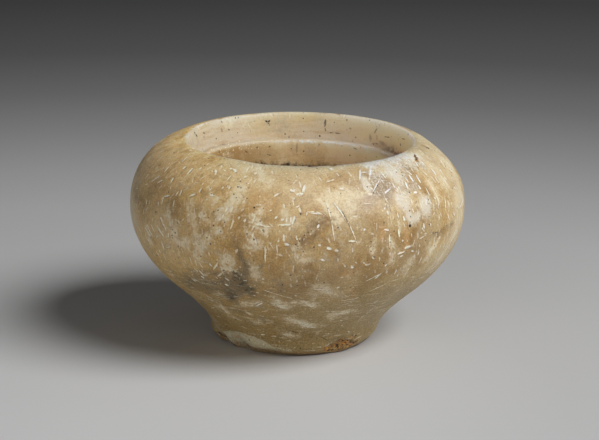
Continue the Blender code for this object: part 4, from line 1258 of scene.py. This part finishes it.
    def grit(self):
        """Chalky dust where the stone is cool, a crescent of it over the ledge, and white and dark grit."""
        dusty = times(ramp(self.ragged, 0.46, 0.66), ramp(self.cool, 0.05, 0.45))
        self.lay(times(dusty, ramp(self.z, 0.055, 0.062, 0.25, 0.55)), CHALK_AND_HIGHLIGHT)
        crescent = times(self.inside, ramp(self.level, 0.0505, 0.0530), ramp(self.x, -0.004, -0.012))
        crescent = times(crescent, ramp(self.level, 0.0575, 0.0560))
        white_share = plus(ramp(self.mottle, 0.42, 0.65, 0.05, 0.26), times(crescent, 0.5))
        cover = calc("MAXIMUM", ramp(self.inside, 0.0, 1.0, 0.55, 0.2), times(crescent, 0.8))
        self.lay(times(self.speck(1250.0, 0.36, white_share), cover), BRUISE)
        self.lay(times(self.speck(620.0, 0.30, 0.05), self.outside, 0.6), TAWNY)
        dark_share = plus(ramp(self.pale, 0.2, 0.7, 0.05, 0.22), times(self.inside, 0.01))
        self.peppered = self.speck(1000.0, 0.36, dark_share)
        self.lay(times(self.peppered, 0.85), DIRT_AND_SHADOW)

    def ledge_and_lip(self):
        """The corner above the ledge gets painted shade at the left and a painted shadow at the right, the
        ledge's nose a painted highlight, and the lip is worn pale.
        """
        # Painted shade in the corner above the ledge, strongest on the left.
        left = ramp(self.x, -0.006, -0.014, 0.20, 1.0)
        corner = ramp(plus(self.mouth["Corner"], centred(self.ragged, 1.0)), 0.10, 1.00)
        self.lay(times(corner, left, self.inside, 0.70), SMOKE_AND_SHADE)
        # A painted shadow in the corner above the ledge, at the right.
        shaded = ramp(calc("ABSOLUTE", minus(self.level, 0.0558)), 0.0030, 0.0)
        uneven = ramp(self.fine, 0.35, 0.60, 0.2, 0.7)
        self.lay(times(shaded, ramp(self.x, 0.022, 0.031), self.inside, uneven), UMBER)
        # A painted highlight on the ledge's nose, strongest at the right.
        right = ramp(self.x, -0.010, 0.004, 0.10, 1.0)
        nose = ramp(plus(self.mouth["Nose"], centred(self.fine, 2.2)), 0.50, 1.00)
        self.lay(times(nose, right, self.inside, 0.95), CHALK_AND_HIGHLIGHT)
        lip = ramp(plus(self.mouth["Lip"], centred(self.mottle, 1.8)), 0.50, 1.00, 0.0, 0.45)
        self.lay(times(lip, ramp(self.y, -0.010, 0.010)), BRUISE)

    def grime_and_shade(self):
        """Grime and painted shade gather low in the hollow, thickest at the left of its back, and the foot's
        lowest edge is darker.
        """
        # Dirt and painted shade, darker low in the hollow.
        depth = plus(self.level, centred(self.curds, 0.007))
        grime_and_shade = times(ramp(depth, 0.0488, 0.0462), ramp(self.x, 0.020, -0.004, 0.45, 1.0), self.inside)
        grime_and_shade = times(grime_and_shade, ramp(self.fine, 0.34, 0.52, 0.45, 1.2), ramp(depth, 0.0380, 0.0440, 0.12, 1.0))
        self.lay(grime_and_shade, blend(ramp(self.ragged, 0.4, 0.6), DIRT_AND_SHADOW, UMBER))
        edge = plus(self.z, centred(self.curds, 0.003))
        self.lay(ramp(edge, 0.0026, 0.0010, 0.0, 0.70), TAWNY)

    def rust_spot(self):
        """Orange and black crumbs."""
        crumbs = grain(self.place, 900, 3, 0.65)
        rusty = ramp(plus(self.rust, centred(crumbs, 1.6)), 0.25, 0.60)
        self.lay(times(rusty, 0.85), TAWNY)
        self.lay(times(self.speck(800.0, 0.60, 0.60), rusty, 0.9), RUSTY)
        self.lay(times(ramp(crumbs, 0.50, 0.58), rusty, 0.9), DIRT_AND_SHADOW)

    def dark_pits_and_shadows(self):
        """Dark pits and cracks, and painted shadows beside scratches and under the foot's left edge. The
        strongest are dark all through, and the others smudged.
        """
        along, across, strength = read(self.tree, "pits")
        smudge = ramp(strength, 0.75, 0.85, ramp(self.ragged, 0.38, 0.54, 0.35, 1.30), 1.25)
        self.pits = times(self.stroke(along, across, self.ragged, 1.2, 0.6), strength, smudge)
        self.lay(self.pits, DIRT_AND_SHADOW)

    def sanding(self):
        """The finest speckle, strongest on the lower body."""
        sand = plus(times(self.ragged, 0.5), times(self.dust, 0.5))
        speckle = blend(ramp(sand, 0.38, 0.62), SHADE, LIGHT)
        sanded = ramp(self.z, 0.032, 0.022, 0.26, 0.42)
        self.lay(ramp(self.inside, 0.0, 1.0, sanded, 0.12), speckle, "OVERLAY")


def alabaster():
    """Mottled, translucent stone with tool bruises, scratches, pits and stains."""
    material = bpy.data.materials.new("alabaster")
    material.use_nodes = True
    tree = material.node_tree
    shader = tree.nodes["Principled BSDF"]
    stone = Stone(tree)
    stone.ground()
    stone.lining()
    stone.patches()
    stone.broken_foot()
    stone.fine_lines()
    stone.veils()
    stone.bruises()
    stone.grit()
    stone.ledge_and_lip()
    stone.grime_and_shade()
    stone.rust_spot()
    stone.dark_pits_and_shadows()
    stone.sanding()
    tree.links.new(stone.colour, shader.inputs["Base Color"])

    roughness = plus(ramp(stone.mottle, 0.3, 0.7, 0.42, 0.60), times(stone.bruised, 0.2))
    tree.links.new(roughness, shader.inputs["Roughness"])

    height = plus(times(stone.fine, 0.55), times(stone.mottle, 0.9))
    for mark, depth in (
        (stone.bruised, 0.8),
        (stone.pits, 1.6),
        (stone.peppered, 0.5),
        (stone.ragged, 0.15),
        (stone.hairlines, 0.5),
    ):
        height = minus(height, times(mark, depth))
    bump = put(tree, "ShaderNodeBump", {"Strength": 0.8, "Distance": 0.16 * MM, "Height": height})
    tree.links.new(bump.outputs["Normal"], shader.inputs["Normal"])

    shader.inputs["Sheen Weight"].default_value = 0.10
    shader.inputs["Sheen Roughness"].default_value = 0.4
    shader.inputs["Sheen Tint"].default_value = (1.0, 0.86, 0.62, 1.0)
    shader.inputs["Subsurface Weight"].default_value = 0.80
    shader.inputs["Subsurface Radius"].default_value = (1.0, 0.82, 0.58)
    shader.inputs["Subsurface Scale"].default_value = 18 * MM
    return material


# Where the chances start from.
SEED = 11


def stone_bowl():
    """The whole bowl: a fine skin over the solid, with its patches and marks laid on."""
    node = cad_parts["bowl"]
    piece = smoothed("stone_bowl", merged_copy(node))
    mesh = piece.data
    dice = random.Random(SEED)
    reshape(mesh, Surface(mesh), rim_nicks(dice))
    surface = Surface(mesh)
    points, normals = vertex_arrays(mesh)
    warped = points
    for size, reach in PATCH_WARP:
        warped = shifted(warped, size, reach)
    for name, placed, hidden in (
        ("pale", PALE_PATCHES, HIDDEN_PALE),
        ("dark", DARK_STAINS, HIDDEN_DARK),
        ("warm", WARM_TINTS, HIDDEN_WARM),
        ("cool", COOL_CLOUDS, HIDDEN_COOL),
    ):
        rows = placed + hidden_patches(dice, *hidden)
        store(mesh, name, *patch_levels(points, normals, warped, rows, surface))
    store(mesh, "tone", tone_and_edge_light_levels(points, normals, warped, surface))

    flecks = placed_marks(surface.outside, FLECKS)
    scratches = placed_marks(surface.outside, SCRATCHES)
    lay_marks(surface, mesh, "flecks", flecks + random_flecks(mesh, dice, middles(flecks + scratches)))
    lay_marks(surface, mesh, "scratches", scratches)
    veils = VEILS + hidden_patches(dice, *HIDDEN_VEILS, VEIL_HEIGHTS, level=True)
    lay_marks(surface, mesh, "veils", placed_marks(surface.outside, veils), VEIL_REACH)
    # Pits, cracks and mouth marks, with the painted shadows among the dark lines.
    pits = placed_spots(surface.outside, PITS) + placed_marks(surface.outside, DARK_LINES)
    pits += placed_marks(surface.inside, MOUTH_MARKS)
    lay_marks(surface, mesh, "pits", pits + random_pits(mesh, dice, middles(pits)))

    mesh.shade_smooth()
    mesh.materials.clear()
    mesh.materials.append(alabaster())
    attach(piece, "root")
    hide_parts("bowl")


# The camera stands where the photograph's stood.
CAMERA_DISTANCE = 900 * MM
CAMERA_ELEVATION = math.radians(15.19)
CAMERA_TARGET = Vector((0.72, 0.0, 37.45)) * MM
CAMERA_LENS = 171.3
SENSOR_WIDTH = 36.0


def add_camera():
    """Places the camera in front of the bowl, a little above it, as the photograph's was."""
    back = Vector((0, -math.cos(CAMERA_ELEVATION), math.sin(CAMERA_ELEVATION)))
    data = bpy.data.cameras.new("camera")
    data.lens = CAMERA_LENS
    data.sensor_width = SENSOR_WIDTH
    camera = bpy.data.objects.new("camera", data)
    camera.location = CAMERA_TARGET + CAMERA_DISTANCE * back
    camera.rotation_euler = (-back).to_track_quat("-Z", "Y").to_euler()
    bpy.context.scene.collection.objects.link(camera)
    bpy.context.scene.camera = camera


# The floor is a wide disc of pale paper with a painted pool of light: it darkens with the distance from a
# spot in front of the bowl.
FLOOR_RADIUS = 3.0
FLOOR_SIDES = 96
FLOOR_DROP = 0.05 * MM
POOL_MIDDLE = (-0.06, -0.09, 0.0)
POOL_REACH = 0.8
PAPER_ROUGHNESS = 0.9
PAPER_SHINE = 0.1
PAINTED_POOL_SHADES = (
    (0.0, 0.63), (0.10, 0.610), (0.18, 0.54), (0.25, 0.52), (0.31, 0.50), (0.38, 0.43), (0.46, 0.325),
    (0.55, 0.218), (0.66, 0.135), (0.84, 0.082), (1.0, 0.055),
)


def add_floor():
    """Lays the floor, a stage that isn't part of the bowl, with a painted pool of light."""
    bm = bmesh.new()
    bmesh.ops.create_circle(bm, cap_ends=True, segments=FLOOR_SIDES, radius=FLOOR_RADIUS)
    bmesh.ops.translate(bm, verts=bm.verts, vec=(0, 0, -FLOOR_DROP))
    mesh = bpy.data.meshes.new("floor")
    bm.to_mesh(mesh)
    bm.free()
    floor = bpy.data.objects.new("floor", mesh)
    bpy.context.scene.collection.objects.link(floor)
    paper = bpy.data.materials.new("paper")
    paper.use_nodes = True
    tree = paper.node_tree
    place = put(tree, "ShaderNodeTexCoord").outputs["Object"]
    away = put(tree, "ShaderNodeVectorMath", (place, POOL_MIDDLE), operation="DISTANCE").outputs["Value"]
    share = ramp(away, 0.0, POOL_REACH, kind="LINEAR")
    # The painted pool of light: the paper darkens away from its middle.
    painted_pool = put(tree, "ShaderNodeValToRGB", (share,))
    stops = painted_pool.color_ramp.elements
    stops.remove(stops[1])
    for index, (position, value) in enumerate(PAINTED_POOL_SHADES):
        stop = stops[0] if index == 0 else stops.new(position)
        stop.position = position
        stop.color = (value, value, value, 1.0)
    shader = tree.nodes["Principled BSDF"]
    tree.links.new(painted_pool.outputs["Color"], shader.inputs["Base Color"])
    shader.inputs["Roughness"].default_value = PAPER_ROUGHNESS
    shader.inputs["Specular IOR Level"].default_value = PAPER_SHINE
    mesh.materials.append(paper)


# Lights: the way each one lies, how far off, how wide and how strong it is.
LIGHT_AIM = Vector((0, 0, 30)) * MM
KEY = ((0.60, -0.35, 0.72), 1.6, (1.15, 0.70), 25.0)
CARD = ((-0.45, -0.86, 0.24), 1.2, (0.9, 0.9), 2.4)
ROOM_LIGHT = 0.06


def add_light(name, direction, distance, size, power):
    """Places a soft oval light that looks at the bowl."""
    data = bpy.data.lights.new(name, "AREA")
    data.shape = "ELLIPSE"
    data.size, data.size_y = size
    data.energy = power
    light = bpy.data.objects.new(name, data)
    away = Vector(direction).normalized()
    light.location = LIGHT_AIM + away * distance
    light.rotation_euler = away.to_track_quat("Z", "Y").to_euler()
    bpy.context.scene.collection.objects.link(light)


def add_room():
    """Fills the room with a little even light."""
    world = bpy.data.worlds.new("room")
    world.use_nodes = True
    world.node_tree.nodes["Background"].inputs["Color"].default_value = (1.0, 1.0, 1.0, 1.0)
    world.node_tree.nodes["Background"].inputs["Strength"].default_value = ROOM_LIGHT
    bpy.context.scene.world = world


stone_bowl()
add_floor()
add_camera()
add_light("key", *KEY)
add_light("card", *CARD)
add_room()
bpy.context.scene.view_settings.view_transform = "Standard"
